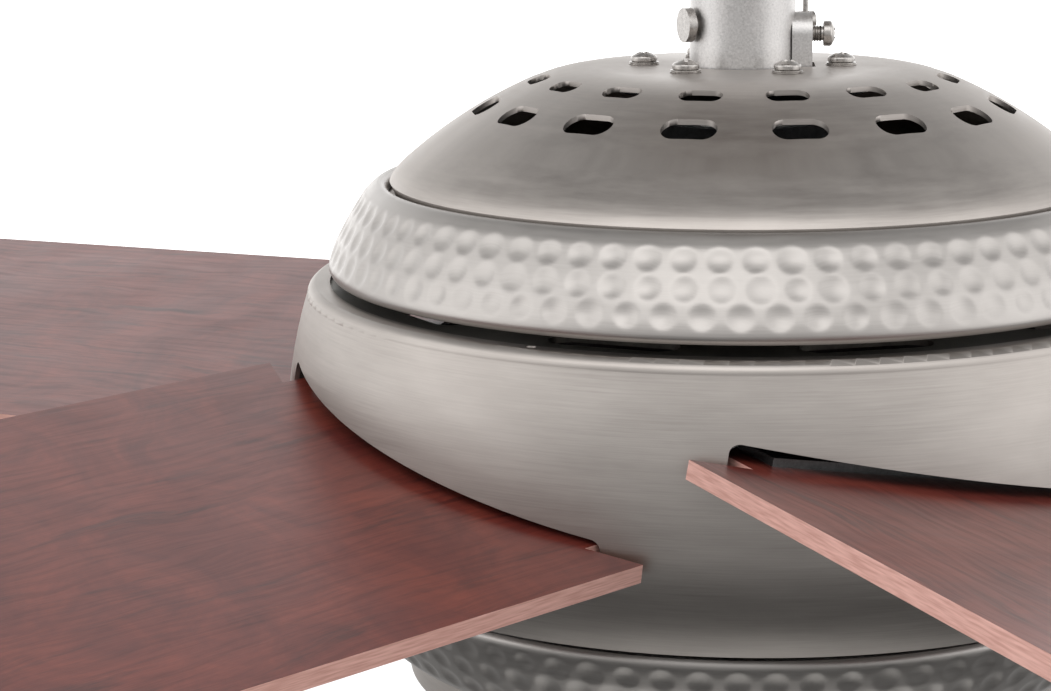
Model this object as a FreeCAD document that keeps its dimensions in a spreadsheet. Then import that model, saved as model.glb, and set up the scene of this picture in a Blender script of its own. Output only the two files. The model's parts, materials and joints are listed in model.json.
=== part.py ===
import FreeCAD, Part
import math
import os
import Sketcher

# Downrod ceiling fan with a bowl light, as a parametric document.
# Everything hangs from the ceiling plane z = 0 down the axis x = y = 0.
# Driving sizes sit in the spreadsheet "dims"; every piece reads them through expressions.

Vector = FreeCAD.Vector
HALF = "half circle"
CENTRE = 3

SIZES = [
    # hanging system
    ("ball_drop", 42.0), ("ball_radius", 23.5), ("ball_cut", 15.0), ("seat_gap", 0.3),
    ("seat_wall", 3.0), ("seat_depth", 17.0), ("bracket_radius", 60.0), ("bracket_sheet", 2.5),
    ("leg_width", 30.0), ("box_hole_spacing", 88.9), ("box_slot_width", 5.2), ("box_slot_length", 12.0),
    ("seat_crown", 4.0), ("leg_inset", 1.0), ("leg_reach", 5.0), ("throat_slack", 0.9),
    ("wire_hole_radius", 12.0), ("ear_width", 18.0), ("ear_drop", 20.0), ("ear_sheet", 2.5),
    ("ear_overlap", 4.0), ("canopy_screw_drop", 12.0), ("canopy_screw_head_radius", 3.5),
    ("canopy_screw_head_height", 2.2), ("canopy_screw_length", 8.0),
    ("canopy_radius", 70.0), ("canopy_depth", 65.0), ("canopy_wall", 1.2), ("canopy_gap", 1.0),
    ("canopy_skirt", 21.0), ("canopy_hole_radius", 18.0), ("canopy_floor_radius", 34.0),
    ("trim_ring_width", 11.0), ("trim_ring_thickness", 3.0), ("trim_ring_bevel", 1.0),
    ("ball_pin_inset", 3.0),
    # downrod and its collar
    ("rod_radius", 13.35), ("rod_wall", 2.6), ("rod_length", 170.0), ("rod_above_ball", 20.0),
    ("rod_end_gap", 5.0), ("slip", 0.08), ("ball_pin_radius", 3.2), ("ball_pin_rise", 12.0),
    ("collar_wall", 3.65), ("collar_rise", 45.0), ("collar_floor", 3.0),
    ("flange_radius", 42.0), ("flange_thickness", 6.0), ("clevis_rise", 13.4), ("clevis_radius", 3.2),
    ("clevis_head_radius", 5.5), ("clevis_head_thickness", 2.7), ("clevis_azimuth", 204.0),
    ("clevis_tail", 7.0), ("clip_reach", 4.5), ("clip_bore_radius", 1.05), ("clip_wire_radius", 0.95),
    ("clip_leg_drop", 7.0), ("clip_leg_length", 16.0), ("clip_eye_rise", 11.2), ("clip_eye_radius", 3.2),
    ("ear_thickness", 6.5), ("collar_ear_width", 14.0), ("set_screw_rise", 10.0),
    ("set_screw_radius", 2.75), ("set_screw_stand_off", 3.6), ("set_screw_head_radius", 4.1),
    ("set_screw_head_height", 2.6), ("set_screw_crown_height", 1.4), ("set_screw_crown_share", 0.6),
    ("set_screw_tip_gap", 0.2),
    # dome and hammered bands
    ("sheet", 1.5), ("dome_flat_radius", 48.0), ("dome_bend_run", 22.0), ("dome_bend_angle", 23.5),
    ("dome_edge_angle", 41.0), ("dome_edge_radius", 8.0), ("dome_foot", 5.0),
    ("collar_hole_gap", 1.5), ("ear_notch_gap", 1.0), ("plate_screw_circle", 31.9),
    ("plate_screws", 6), ("plate_screw_phase", -93.5), ("plate_screw_radius", 2.4),
    ("plate_screw_head_radius", 4.6), ("plate_screw_head_height", 3.2), ("plate_washer_radius", 4.9),
    ("plate_washer_thickness", 1.0), ("vents", 16), ("vent_row_pitch", 17.1), ("vent_edge", 29.4),
    ("upper_vent_length", 13.4), ("upper_vent_width", 6.9), ("lower_vent_length", 17.0),
    ("lower_vent_width", 8.7), ("vent_phase", 11.89),
    ("band_spread", 22.3), ("band_crest", 6.5), ("crest_gap", 0.255), ("band_seat_drop", 2.5),
    ("band_height", 27.8), ("band_wall", 2.0), ("band_side_radius", 130.0), ("band_crest_radius", 6.0),
    ("band_lip_radius", 3.2), ("band_lip_rise", 3.0), ("band_lip_step", 0.3), ("band_gap", 0.2),
    # spinning housing
    ("housing_radius", 150.4), ("rim_inset", 15.2), ("rim_width", 4.2), ("lip_gap", 4.3),
    ("shoulder_drop", 4.0), ("shoulder_run", 3.0), ("shoulder_radius", 4.0), ("widest_drop", 52.7),
    ("housing_height", 85.1), ("floor_inset", 8.2), ("floor_width", 6.0), ("floor_ease", 0.5),
    ("upper_side_radius", 159.0), ("lower_side_radius", 64.0), ("slot_half_angle", 29.5),
    ("slot_height", 16.5), ("slot_slope", 11.5), ("slot_top_drop", 36.2), ("slot_corner", 3.0),
    # blades and their arms
    ("blades", 5), ("blade_sweep_radius", 686.0), ("blade_width", 174.7), ("blade_thickness", 5.6),
    ("blade_pitch", 10.1), ("blade_droop", 1.4), ("blade_drop", 39.85), ("blade_phase", -133.4),
    ("neck_gap", 3.0), ("notch_gap", 5.1), ("corner_gap", 5.5), ("blade_tip_corner", 26.0),
    ("root_chamfer", 14.0), ("root_gap", 4.0), ("arm_zone", 50.4), ("arm_sheet", 2.5),
    ("arm_side_gap", 9.0), ("arm_wall_gap", 4.0), ("arm_foot_width", 48.0), ("arm_foot_length", 36.0),
    ("arm_foot_sheet", 3.0), ("arm_screw_pitch", 18.0), ("blade_screw_spread", 38.0),
    ("blade_screw_radius", 2.0), ("blade_screw_head_radius", 4.5), ("blade_washer_radius", 6.0),
    ("blade_washer_thickness", 1.0), ("screw_slack", 0.1), ("blade_screw_head_height", 2.4),
    ("blade_screw_tail", 1.0), ("arm_edge_gap", 2.0), ("arm_neck_share", 0.8), ("arm_shoulder", 6.0),
    ("arm_screw_inset", 11.0), ("arm_screw_head_radius", 4.0), ("arm_screw_head_height", 2.8),
    ("arm_screw_short", 0.5),
    # motor
    ("shaft_radius", 10.0), ("shaft_bore", 6.0), ("shaft_tail", 2.3), ("shaft_inset", 1.0),
    ("press_gap", 0.02), ("bearing_width", 14.0), ("race_inset", 2.0),
    ("bearing_outer_radius", 23.5), ("race_wall", 3.4),
    ("ball_count", 8), ("bearing_clearance", 0.05), ("cage_wall", 0.8), ("cage_gap", 0.4),
    ("case_inset", 20.0), ("case_wall", 4.0), ("case_drop", 30.0), ("case_height", 66.0),
    ("case_flange_width", 10.0), ("case_flange_thickness", 3.0), ("case_foot_thickness", 6.0),
    ("case_round", 6.0), ("case_round_radius", 8.0), ("race_lip_share", 0.6),
    ("hub_wall", 3.5), ("hub_reach", 12.0), ("air_gap", 0.4), ("stator_height", 26.0),
    ("rotor_depth", 16.0), ("winding_rise", 7.0), ("winding_inner_share", 0.6),
    ("winding_edge", 4.0), ("winding_slots", 16), ("coil_gap", 0.6), ("coil_fill", 0.62),
    ("rotor_overlap", 1.0), ("case_screws", 6), ("case_screw_radius", 2.0),
    ("case_screw_head_radius", 3.6), ("case_screw_head_height", 2.6), ("case_screw_tail", 2.0),
    ("spider_thickness", 2.0), ("spider_gap", 0.3), ("spider_vents", 10), ("spider_vent_length", 40.0),
    ("spider_vent_width", 13.0), ("spider_vent_shift", 4.0), ("rim_screws", 5),
    ("rim_screw_radius", 1.4), ("rim_screw_turn", 18.0), ("rim_screw_head_radius", 2.2),
    ("rim_screw_head_height", 1.6), ("rim_screw_grip", 0.8),
    # light kit
    ("light_gap", 4.6), ("plate_step", 2.0), ("plate_rim_gap", 4.2), ("pan_side_gap", 1.6),
    ("pan_drop", 38.0), ("pan_wall", 1.2), ("pan_round", 6.0), ("nut_radius", 15.0), ("nut_height", 6.0),
    ("bowl_rim_gap", 2.4), ("bowl_depth", 100.0), ("bowl_wall", 3.2), ("bowl_rim_depth", 10.0),
    ("bowl_straight", 12.0), ("bowl_waist_share", 0.42), ("bowl_waist_step", 6.0),
    ("bowl_waist_inset", 0.87), ("bowl_floor_share", 0.52), ("bowl_floor_rise", 12.0),
    ("bowl_side_bend", 0.7), ("bowl_floor_bend", 1.4), ("bowl_rod_grip", 12.0), ("bowl_rod_tail", 10.0),
    ("bowl_rod_step", 1.0), ("stop_nut_gap", 0.4),
    ("nipple_radius", 4.8), ("bowl_hole_radius", 6.5), ("stop_nut_radius", 9.0),
    ("stop_nut_height", 4.0), ("gasket_radius", 15.0), ("gasket_thickness", 1.5),
    ("finial_radius", 17.0), ("finial_height", 24.0), ("finial_rim", 3.0), ("finial_tip_radius", 4.0),
    ("finial_tip_rise", 2.0), ("finial_knob_radius", 7.0), ("finial_knob_rise", 9.0),
    ("finial_neck_radius", 6.0), ("finial_neck_rise", 13.0), ("finial_knob_bend", 12.0),
    ("finial_neck_bend", 6.0), ("finial_flare_bend", 20.0), ("finial_end_gap", 0.5),
    ("lamps", 3), ("lamp_circle_share", 0.4642), ("lamp_gap", 0.5), ("lamp_cap_step", 4.0),
    ("lamp_cap_nose", 5.0),
    ("socket_radius", 17.0), ("socket_depth", 28.0), ("socket_wall", 3.2), ("lamp_cap_radius", 13.0),
    ("lamp_cap_depth", 24.0), ("globe_radius", 24.0), ("globe_length", 58.0), ("globe_wall", 0.8),
    ("capacitor_length", 40.0), ("capacitor_width", 22.0), ("capacitor_height", 26.0),
    ("capacitor_reach", 48.0), ("switch_drop", 17.0), ("switch_length", 24.0), ("switch_height", 10.0),
    ("switch_depth", 9.0), ("slider_travel", 6.0), ("slider_length", 5.0), ("slider_height", 4.0),
    ("slider_reach", 5.0), ("slider_gap", 0.35), ("slider_stand_off", 1.5),
]

# Radii that follow from one another, as expressions.
COLLAR_R = "(dims.rod_radius + dims.collar_wall)"
LIP_R = "(dims.housing_radius - dims.rim_inset)"
DOME_R = f"({LIP_R} - dims.band_spread)"
CASE_FLANGE_R = "(dims.housing_radius - dims.arm_zone)"
CASE_R = f"({CASE_FLANGE_R} - dims.case_inset)"
CASE_RIM_R = f"({CASE_R} + dims.case_flange_width)"
ROTOR_R = f"({CASE_R} - dims.case_wall)"
STATOR_R = f"({ROTOR_R} - dims.rotor_depth)"
PLATE_R = f"({LIP_R} - dims.plate_rim_gap)"
PAN_R = f"({DOME_R} - dims.pan_side_gap)"
BOWL_R = f"({PAN_R} - dims.pan_wall - dims.bowl_rim_gap)"
NECK_HALF = "(dims.housing_radius * sin(dims.slot_half_angle) - dims.neck_gap)"
NOTCH_U = "(dims.housing_radius * cos(dims.slot_half_angle) + dims.notch_gap)"
CORNER_U = "sqrt((dims.housing_radius + dims.corner_gap)^2 - (dims.blade_width / 2)^2)"
ROOT_U = f"({CASE_FLANGE_R} + dims.root_gap)"
ARM_HALF = f"({NECK_HALF} - dims.arm_side_gap)"
ARM_OUT_U = f"sqrt((dims.housing_radius - dims.sheet - dims.arm_wall_gap)^2 - {ARM_HALF}^2)"
BLADE_SCREW_U = f"(({ROOT_U} + {ARM_OUT_U}) / 2)"
CASE_SCREW_CIRCLE = f"({CASE_R} + dims.case_flange_width / 2)"
RIM_SCREW_CIRCLE = f"({LIP_R} + dims.rim_width / 2)"
FIRST_ARM_SCREW = f"({CASE_FLANGE_R} - dims.arm_screw_inset)"
ARM_SCREWS = (FIRST_ARM_SCREW, f"({FIRST_ARM_SCREW} - dims.arm_screw_pitch)")

# The dome's outer line: a gentle bend, a long sweep and a tight edge that ends upright.
BEND_R = "(dims.dome_bend_run / sin(dims.dome_bend_angle))"
EDGE_RUN = "(dims.dome_edge_radius * (1 - sin(dims.dome_edge_angle)))"
SWEEP_RUN = f"({DOME_R} - dims.dome_flat_radius - dims.dome_bend_run - {EDGE_RUN})"
SWEEP_R = f"({SWEEP_RUN} / (sin(dims.dome_edge_angle) - sin(dims.dome_bend_angle)))"
BEND_DROP = f"({BEND_R} * (1 - cos(dims.dome_bend_angle)))"
SWEEP_DROP = f"({SWEEP_R} * (cos(dims.dome_bend_angle) - cos(dims.dome_edge_angle)))"
EDGE_DROP = "(dims.dome_edge_radius * cos(dims.dome_edge_angle))"

# Levels below the ceiling, as expressions.
BALL = "(-dims.ball_drop)"
CANOPY_FOOT = "(-dims.canopy_gap - dims.canopy_depth)"
DOME = f"({BALL} + dims.rod_above_ball - dims.rod_length - dims.rod_end_gap)"
UNDER_DOME = f"({DOME} - dims.sheet)"
FLANGE_FOOT = f"({UNDER_DOME} - dims.flange_thickness)"
CREST = f"({DOME} - {BEND_DROP} - {SWEEP_DROP} - {EDGE_DROP} - dims.crest_gap)"
BAND_SEAT = f"({CREST} - dims.band_seat_drop - dims.band_wall)"
UPPER_LIP = f"({CREST} - dims.band_height)"
RIM = f"({UPPER_LIP} - dims.lip_gap)"
RIM_UNDER = f"({RIM} - dims.sheet)"
CASE_TOP = f"({DOME} - dims.case_drop)"
CASE_FOOT = f"({CASE_TOP} - dims.case_height)"
CASE_SPLIT = f"({RIM_UNDER} + dims.case_flange_thickness)"
CASE_RIM_TOP = f"({CASE_SPLIT} + dims.case_flange_thickness)"
UPPER_RACE = f"({CASE_TOP} + dims.hub_reach - dims.race_inset)"
LOWER_RACE = f"({CASE_FOOT} - dims.hub_reach + dims.bearing_width + dims.race_inset)"
BEARINGS = (("upper", UPPER_RACE), ("lower", LOWER_RACE))
BLADE_TOP = f"({RIM} - dims.blade_drop)"
HOUSING_FOOT = f"({RIM} - dims.housing_height)"
LOWER_LIP = f"({HOUSING_FOOT} - dims.light_gap)"
PLATE_TOP = f"({LOWER_LIP} - dims.plate_step)"
PLATE_FOOT = f"({PLATE_TOP} - dims.sheet)"
NUT_TOP = f"({PLATE_FOOT} - dims.pan_wall)"
SHAFT_FOOT = f"({NUT_TOP} - dims.nut_height - dims.shaft_tail)"
PAN_FOOT = f"({PLATE_FOOT} - dims.pan_drop)"
BOWL_TOP = f"({PAN_FOOT} + dims.bowl_rim_depth)"
BOWL_FOOT = f"({BOWL_TOP} - dims.bowl_depth)"
GASKET_FOOT = f"({BOWL_FOOT} - dims.gasket_thickness)"
ROD_TAIL = f"({GASKET_FOOT} - dims.bowl_rod_tail)"

# Turns of the screw rings, and how far a cutting shape overshoots its wall.
SCREW_TURN = "dims.plate_screw_phase - 90"
RIM_SCREW_TURN = "dims.blade_phase + dims.rim_screw_turn"
BLADE_SPIN = ("dims.blade_droop", "-dims.blade_pitch")
OVER = "1"
NUT_SIDES = "6"

doc = FreeCAD.newDocument("ceiling_fan")
sheet = doc.addObject("Spreadsheet::Sheet", "dims")
pieces = []


def fill_sheet():
    """Write each driving size into the sheet as plain text with its alias."""
    for row, (alias, size) in enumerate(SIZES, start=1):
        sheet.set(f"A{row}", alias)
        sheet.set(f"B{row}", str(size))
        sheet.setAlias(f"B{row}", alias)
    doc.recompute()


def value(expression):
    """Number that an expression has with the present sizes."""
    return float(sheet.evalExpression(str(expression)))


def keep(piece, name):
    """Label a finished object as one piece of the fan."""
    piece.Label = name
    pieces.append(piece)
    return piece


def new_body(name):
    """PartDesign body that may hold several separate solids."""
    body = doc.addObject("PartDesign::Body", name)
    body.AllowCompound = True
    return keep(body, name)


def origin_feature(body, role):
    """Plane or axis of the body's own origin."""
    return next(item for item in body.Origin.OriginFeatures if item.Role == role)


def new_sketch(body, name, plane="XZ_Plane", offset=None):
    """Sketch on one of the body's origin planes, moved by an optional placement expression."""
    sketch = body.newObject("Sketcher::SketchObject", name)
    sketch.AttachmentSupport = [(origin_feature(body, plane), "")]
    sketch.MapMode = "FlatFace"
    if offset is not None:
        sketch.setExpression("AttachmentOffset", offset)
    return sketch


def bind(sketch, kind, geometry, point, expression):
    """Constrain a point's coordinate, or a radius when point is None, to an expression."""
    number = value(expression)
    if point is None:
        constraint = Sketcher.Constraint(kind, geometry, number)
    else:
        constraint = Sketcher.Constraint(kind, -1, 1, geometry, point, number)
    index = sketch.addConstraint(constraint)
    sketch.setExpression(f"Constraints[{index}]", str(expression))


def arc_between(start, end, radius, turn):
    """Short arc from start to end; turn is +1 to bend left of the chord, -1 right."""
    chord = end - start
    reach = math.sqrt(max(radius ** 2 - (chord.Length / 2) ** 2, 0.0))
    side = Vector(-chord.y, chord.x, 0).normalize() * turn
    centre = (start + end) * 0.5 + side * reach
    first, last = (start, end) if turn > 0 else (end, start)
    angles = [math.atan2(p.y - centre.y, p.x - centre.x) for p in (first, last)]
    if angles[1] < angles[0]:
        angles[1] += 2 * math.pi
    circle = Part.Circle(centre, Vector(0, 0, 1), radius)
    return Part.ArcOfCircle(circle, angles[0], angles[1])


def outline(sketch, steps):
    """Closed outline through (x, y), (x, y, turn, radius) or, for a half circle, (x, y, HALF).

    The third and fourth items bend the side that follows the corner.
    """
    corners = [Vector(value(step[0]), value(step[1]), 0) for step in steps]
    sides = []
    for index, step in enumerate(steps):
        start, end = corners[index], corners[(index + 1) % len(steps)]
        if len(step) == 2:
            geometry = sketch.addGeometry(Part.LineSegment(start, end), False)
            sides.append((geometry, 1, 2))
        elif step[2] == HALF:
            arc = arc_between(start, end, (end - start).Length / 2, 1)
            geometry = sketch.addGeometry(arc, False)
            sides.append((geometry, 1, 2))
        else:
            arc = arc_between(start, end, value(step[3]), step[2])
            geometry = sketch.addGeometry(arc, False)
            sides.append((geometry, 1, 2) if step[2] > 0 else (geometry, 2, 1))
    for index, (geometry, _, end_point) in enumerate(sides):
        following = sides[(index + 1) % len(sides)]
        sketch.addConstraint(
            Sketcher.Constraint("Coincident", geometry, end_point, following[0], following[1]))
    for step, (geometry, start_point, _) in zip(steps, sides):
        bind(sketch, "DistanceX", geometry, start_point, step[0])
        bind(sketch, "DistanceY", geometry, start_point, step[1])
        if len(step) == 4:
            bind(sketch, "Radius", geometry, None, step[3])
        elif len(step) == 3:
            bind(sketch, "DistanceY", geometry, CENTRE, step[1])


def circle(sketch, x, y, radius):
    """Circle with its centre and radius bound to expressions."""
    shape = Part.Circle(Vector(value(x), value(y), 0), Vector(0, 0, 1), value(radius))
    geometry = sketch.addGeometry(shape, False)
    bind(sketch, "DistanceX", geometry, CENTRE, x)
    bind(sketch, "DistanceY", geometry, CENTRE, y)
    bind(sketch, "Radius", geometry, None, radius)


def box_steps(x_low, x_high, y_low, y_high):
    """Corners of a rectangle, anticlockwise."""
    return [(x_low, y_low), (x_high, y_low), (x_high, y_high), (x_low, y_high)]


def turn(body, name, steps, axis_x=None):
    """Revolve an outline of (radius, z) about the body's axis, or about x = axis_x."""
    sketch = new_sketch(body, f"{name}_outline")
    outline(sketch, steps)
    feature = body.newObject("PartDesign::Revolution", name)
    feature.Profile = sketch
    feature.ReferenceAxis = (sketch, ["V_Axis"])
    if axis_x is not None:
        x = value(axis_x)
        line = sketch.addGeometry(Part.LineSegment(Vector(x, 0, 0), Vector(x, 10, 0)), True)
        sketch.addConstraint(Sketcher.Constraint("Vertical", line))
        bind(sketch, "DistanceX", line, 1, axis_x)
        bind(sketch, "DistanceY", line, 1, "0")
        feature.ReferenceAxis = (sketch, ["Axis0"])
    feature.Angle = 360
    body.Tip = feature
    return feature


def turned(name, steps):
    """One-piece turned body from an outline of (radius, z)."""
    body = new_body(name)
    turn(body, f"{name}_turned", steps)
    return body


def tube_steps(inner, outer, low, high):
    """Outline of a plain tube or ring."""
    return box_steps(inner, outer, low, high)


def cut(body, name, sketch, length, both_ways=False):
    """Pocket a sketch against its normal, or half each way; refuse one that cuts nothing."""
    doc.recompute()
    before = body.Shape.Volume
    feature = body.newObject("PartDesign::Pocket", name)
    feature.Profile = sketch
    feature.Type = "Length"
    feature.setExpression("Length", length)
    feature.Midplane = both_ways
    body.Tip = feature
    doc.recompute()
    if body.Shape.Volume >= before:
        raise ValueError(f"{name} cuts nothing")
    return feature


def pad(body, name, sketch, length):
    """Pad a sketch along its normal."""
    feature = body.newObject("PartDesign::Pad", name)
    feature.Profile = sketch
    feature.setExpression("Length", length)
    body.Tip = feature
    return feature


def around(body, name, features, count):
    """Repeat features evenly about the body's vertical axis."""
    pattern = body.newObject("PartDesign::PolarPattern", name)
    pattern.Originals = features
    pattern.Axis = (origin_feature(body, "Z_Axis"), [""])
    pattern.Angle = 360
    pattern.setExpression("Occurrences", count)
    body.Tip = pattern
    return pattern


def at_height(z):
    """Offset expression for a sketch on the XY plane."""
    return f"placement(vector(0; 0; {z}); rotation(0; 0; 0))"


def holes(body, name, circle_radius, hole_radius, count, top, depth, azimuth="0"):
    """Ring of round holes cut down from a level, the first one at an azimuth."""
    sketch = new_sketch(body, f"{name}_sketch", "XY_Plane", placed("0", "0", top, azimuth))
    circle(sketch, circle_radius, "0", hole_radius)
    first = cut(body, f"{name}_first", sketch, depth)
    return around(body, name, [first], count)


def stadium(sketch, x_mid, y_mid, half_length, half_width):
    """Slot lying along y with round ends."""
    x_low, x_high = f"{x_mid} - {half_width}", f"{x_mid} + {half_width}"
    straight = f"({half_length} - {half_width})"
    outline(sketch, [(x_low, f"{y_mid} - {straight}", HALF), (x_high, f"{y_mid} - {straight}"),
                     (x_high, f"{y_mid} + {straight}", HALF), (x_low, f"{y_mid} + {straight}")])


def headed_screw(body, name, x, head_foot, head_radius, head_height, shank_radius, shank_length,
                 head_down=False):
    """Vertical pan-head screw standing at radius x."""
    away = -1 if head_down else 1
    head_face = f"{head_foot} + {away} * {head_height}"
    shank_end = f"{head_foot} - {away} * {shank_length}"
    steps = [(x, shank_end), (f"{x} + {shank_radius}", shank_end),
             (f"{x} + {shank_radius}", head_foot), (f"{x} + {head_radius}", head_foot),
             (f"{x} + {head_radius}", f"{head_foot} + {away} * {head_height} / 2"),
             (f"{x} + {head_radius} * 0.7", head_face), (x, head_face)]
    return turn(body, name, steps, axis_x=x)


def solid(kind, name, place, **sizes):
    """Part primitive with sizes and placement bound to expressions."""
    shape = doc.addObject(f"Part::{kind}", name)
    for prop, expression in sizes.items():
        shape.setExpression(prop, expression)
    shape.setExpression("Placement", place)
    return shape


def placed(x, y, z, yaw="0", pitch="0", roll="0"):
    """Placement expression from a position and yaw, pitch and roll in degrees."""
    return f"placement(vector({x}; {y}; {z}); rotation({yaw}; {pitch}; {roll}))"


def turn_body(body, angle):
    """Turn a body about the fan's axis."""
    body.setExpression("Placement", placed("0", "0", "0", angle))


# ---------------------------------------------------------------- hanging system

def ceiling_bracket():
    """Pressed plate with two legs that carry the open spherical seat."""
    body = new_body("ceiling_bracket")
    inner = "(dims.ball_radius + dims.seat_gap)"
    outer = f"({inner} + dims.seat_wall)"
    top = f"({BALL} - dims.seat_crown)"
    foot = f"({BALL} - dims.seat_depth)"
    mouth = f"sqrt({inner}^2 - dims.seat_depth^2)"
    turn(body, "bracket_plate", tube_steps("dims.wire_hole_radius", "dims.bracket_radius",
                                           "-dims.bracket_sheet", "0"))
    legs = new_sketch(body, "legs_sketch", "XY_Plane", at_height(top))
    half = "dims.leg_width / 2"
    leg_out = f"({outer} + dims.leg_reach)"
    for low, high in ((f"{outer} + dims.leg_inset", leg_out), (f"-{leg_out}", f"-{outer} - dims.leg_inset")):
        outline(legs, box_steps(low, high, f"-{half}", half))
    pad(body, "legs", legs, f"-{top}")
    turn(body, "seat", [(f"sqrt({inner}^2 - dims.seat_crown^2)", top, -1, inner), (mouth, foot),
                        (leg_out, foot), (leg_out, top)])
    ears = new_sketch(body, "ears_sketch", "XY_Plane", at_height("-dims.ear_drop"))
    ear_out = "(dims.canopy_radius - dims.canopy_wall - dims.canopy_gap)"
    for sign in ("", "-"):
        low, high = f"{sign}({ear_out} - dims.ear_sheet)", f"{sign}{ear_out}"
        edges = (low, high) if sign == "" else (high, low)
        outline(ears, box_steps(*edges, "-dims.ear_width / 2", "dims.ear_width / 2"))
    pad(body, "ears", ears, "dims.ear_drop")
    links = new_sketch(body, "links_sketch", "XY_Plane", at_height("-dims.bracket_sheet"))
    for sign in ("", "-"):
        low, high = f"{sign}(dims.bracket_radius - dims.ear_overlap)", f"{sign}{ear_out}"
        edges = (low, high) if sign == "" else (high, low)
        outline(links, box_steps(*edges, "-dims.ear_width / 2", "dims.ear_width / 2"))
    pad(body, "ear_links", links, "dims.bracket_sheet")
    throat = new_sketch(body, "throat_sketch", "XY_Plane", at_height(f"{top} + {OVER}"))
    width = "(dims.rod_radius + dims.throat_slack)"
    outline(throat, box_steps(f"-{width}", width, "0", f"{leg_out} + {OVER}"))
    cut(body, "throat", throat, "dims.seat_depth")
    slots = new_sketch(body, "box_slots_sketch", "XY_Plane", at_height("0"))
    for sign in ("", "-"):
        stadium(slots, "0", f"{sign}dims.box_hole_spacing / 2",
                "dims.box_slot_length / 2", "dims.box_slot_width / 2")
    cut(body, "box_slots", slots, f"dims.bracket_sheet + {OVER}")
    bores = new_sketch(body, "ear_bores_sketch", "YZ_Plane")
    circle(bores, "0", "-dims.canopy_screw_drop", "dims.rim_screw_radius + dims.screw_slack")
    cut(body, "ear_bores", bores, "2 * dims.canopy_radius", both_ways=True)


def canopy():
    """Bell that hides the bracket, with its screw holes on the left and right."""
    body = new_body("canopy")
    top = "-dims.canopy_gap"
    foot = CANOPY_FOOT
    wall = "dims.canopy_wall"
    sag = "(dims.canopy_radius - dims.canopy_floor_radius)"
    turn(body, "canopy_bell", [
        ("dims.canopy_hole_radius", foot), ("dims.canopy_floor_radius", foot, 1, f"2 * {sag}"),
        ("dims.canopy_radius", f"{top} - dims.canopy_skirt"), ("dims.canopy_radius", top),
        (f"dims.canopy_radius - {wall}", top),
        (f"dims.canopy_radius - {wall}", f"{top} - dims.canopy_skirt", -1, f"2 * {sag} - {wall}"),
        (f"dims.canopy_floor_radius - {wall} / 2", f"{foot} + {wall}"),
        ("dims.canopy_hole_radius", f"{foot} + {wall}")])
    bores = new_sketch(body, "canopy_bores_sketch", "YZ_Plane")
    circle(bores, "0", "-dims.canopy_screw_drop", "dims.rim_screw_radius + dims.screw_slack")
    cut(body, "canopy_bores", bores, "3 * dims.canopy_radius", both_ways=True)


def canopy_fittings():
    """Cover ring under the canopy and the two screws that hold the bell."""
    foot, bevel = CANOPY_FOOT, "dims.trim_ring_bevel"
    low = f"{foot} - dims.trim_ring_thickness"
    outer = "dims.canopy_hole_radius + dims.trim_ring_width"
    turned("canopy_trim_ring", [("dims.canopy_hole_radius", low), (f"{outer} - 2 * {bevel}", low),
                                (outer, f"{foot} - {bevel}"), (outer, foot),
                                ("dims.canopy_hole_radius", foot)])
    screws = []
    for index, side in enumerate((1, -1)):
        turn_angle = 90 * side
        level = "-dims.canopy_screw_drop"
        head = placed(f"{side} * dims.canopy_radius", "0", level, pitch=turn_angle)
        shank = placed(f"{side} * (dims.canopy_radius - dims.canopy_screw_length)", "0", level,
                       pitch=turn_angle)
        parts = [solid("Cylinder", f"canopy_screw_head_{index}", head,
                       Radius="dims.canopy_screw_head_radius", Height="dims.canopy_screw_head_height"),
                 solid("Cylinder", f"canopy_screw_shank_{index}", shank,
                       Radius="dims.rim_screw_radius", Height="dims.canopy_screw_length")]
        screws.append(fused(f"canopy_screw_{index}", parts))
    compound("canopy_screws", screws)


def hanger_ball():
    """Ball on the rod's top end, flat above, with a groove for its cross pin."""
    body = new_body("hanger_ball")
    bore = "dims.rod_radius + dims.slip"
    top, foot = "dims.ball_cut", "dims.seat_depth"
    foot_radius = f"sqrt(dims.ball_radius^2 - {foot}^2)"
    top_radius = f"sqrt(dims.ball_radius^2 - {top}^2)"
    turn(body, "ball_turned", [(bore, f"{BALL} - {foot}"),
                               (foot_radius, f"{BALL} - {foot}", 1, "dims.ball_radius"),
                               (top_radius, f"{BALL} + {top}"), (bore, f"{BALL} + {top}")])
    groove = new_sketch(body, "groove_sketch", "YZ_Plane")
    half = "(dims.ball_pin_radius + dims.slip)"
    level = f"({BALL} + dims.ball_pin_rise)"
    outline(groove, [(f"-{half}", level, HALF), (half, level),
                     (half, f"{BALL} + {top} + {OVER}"), (f"-{half}", f"{BALL} + {top} + {OVER}")])
    cut(body, "groove", groove, "3 * dims.ball_radius", both_ways=True)


def pin_across(name, z, radius, length, yaw="0"):
    """Plain round pin lying across the axis."""
    half = f"({length}) / 2"
    place = placed(f"-{half} * cos({yaw})", f"-{half} * sin({yaw})", z, yaw, "90")
    return solid("Cylinder", name, place, Radius=radius, Height=length)


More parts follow.
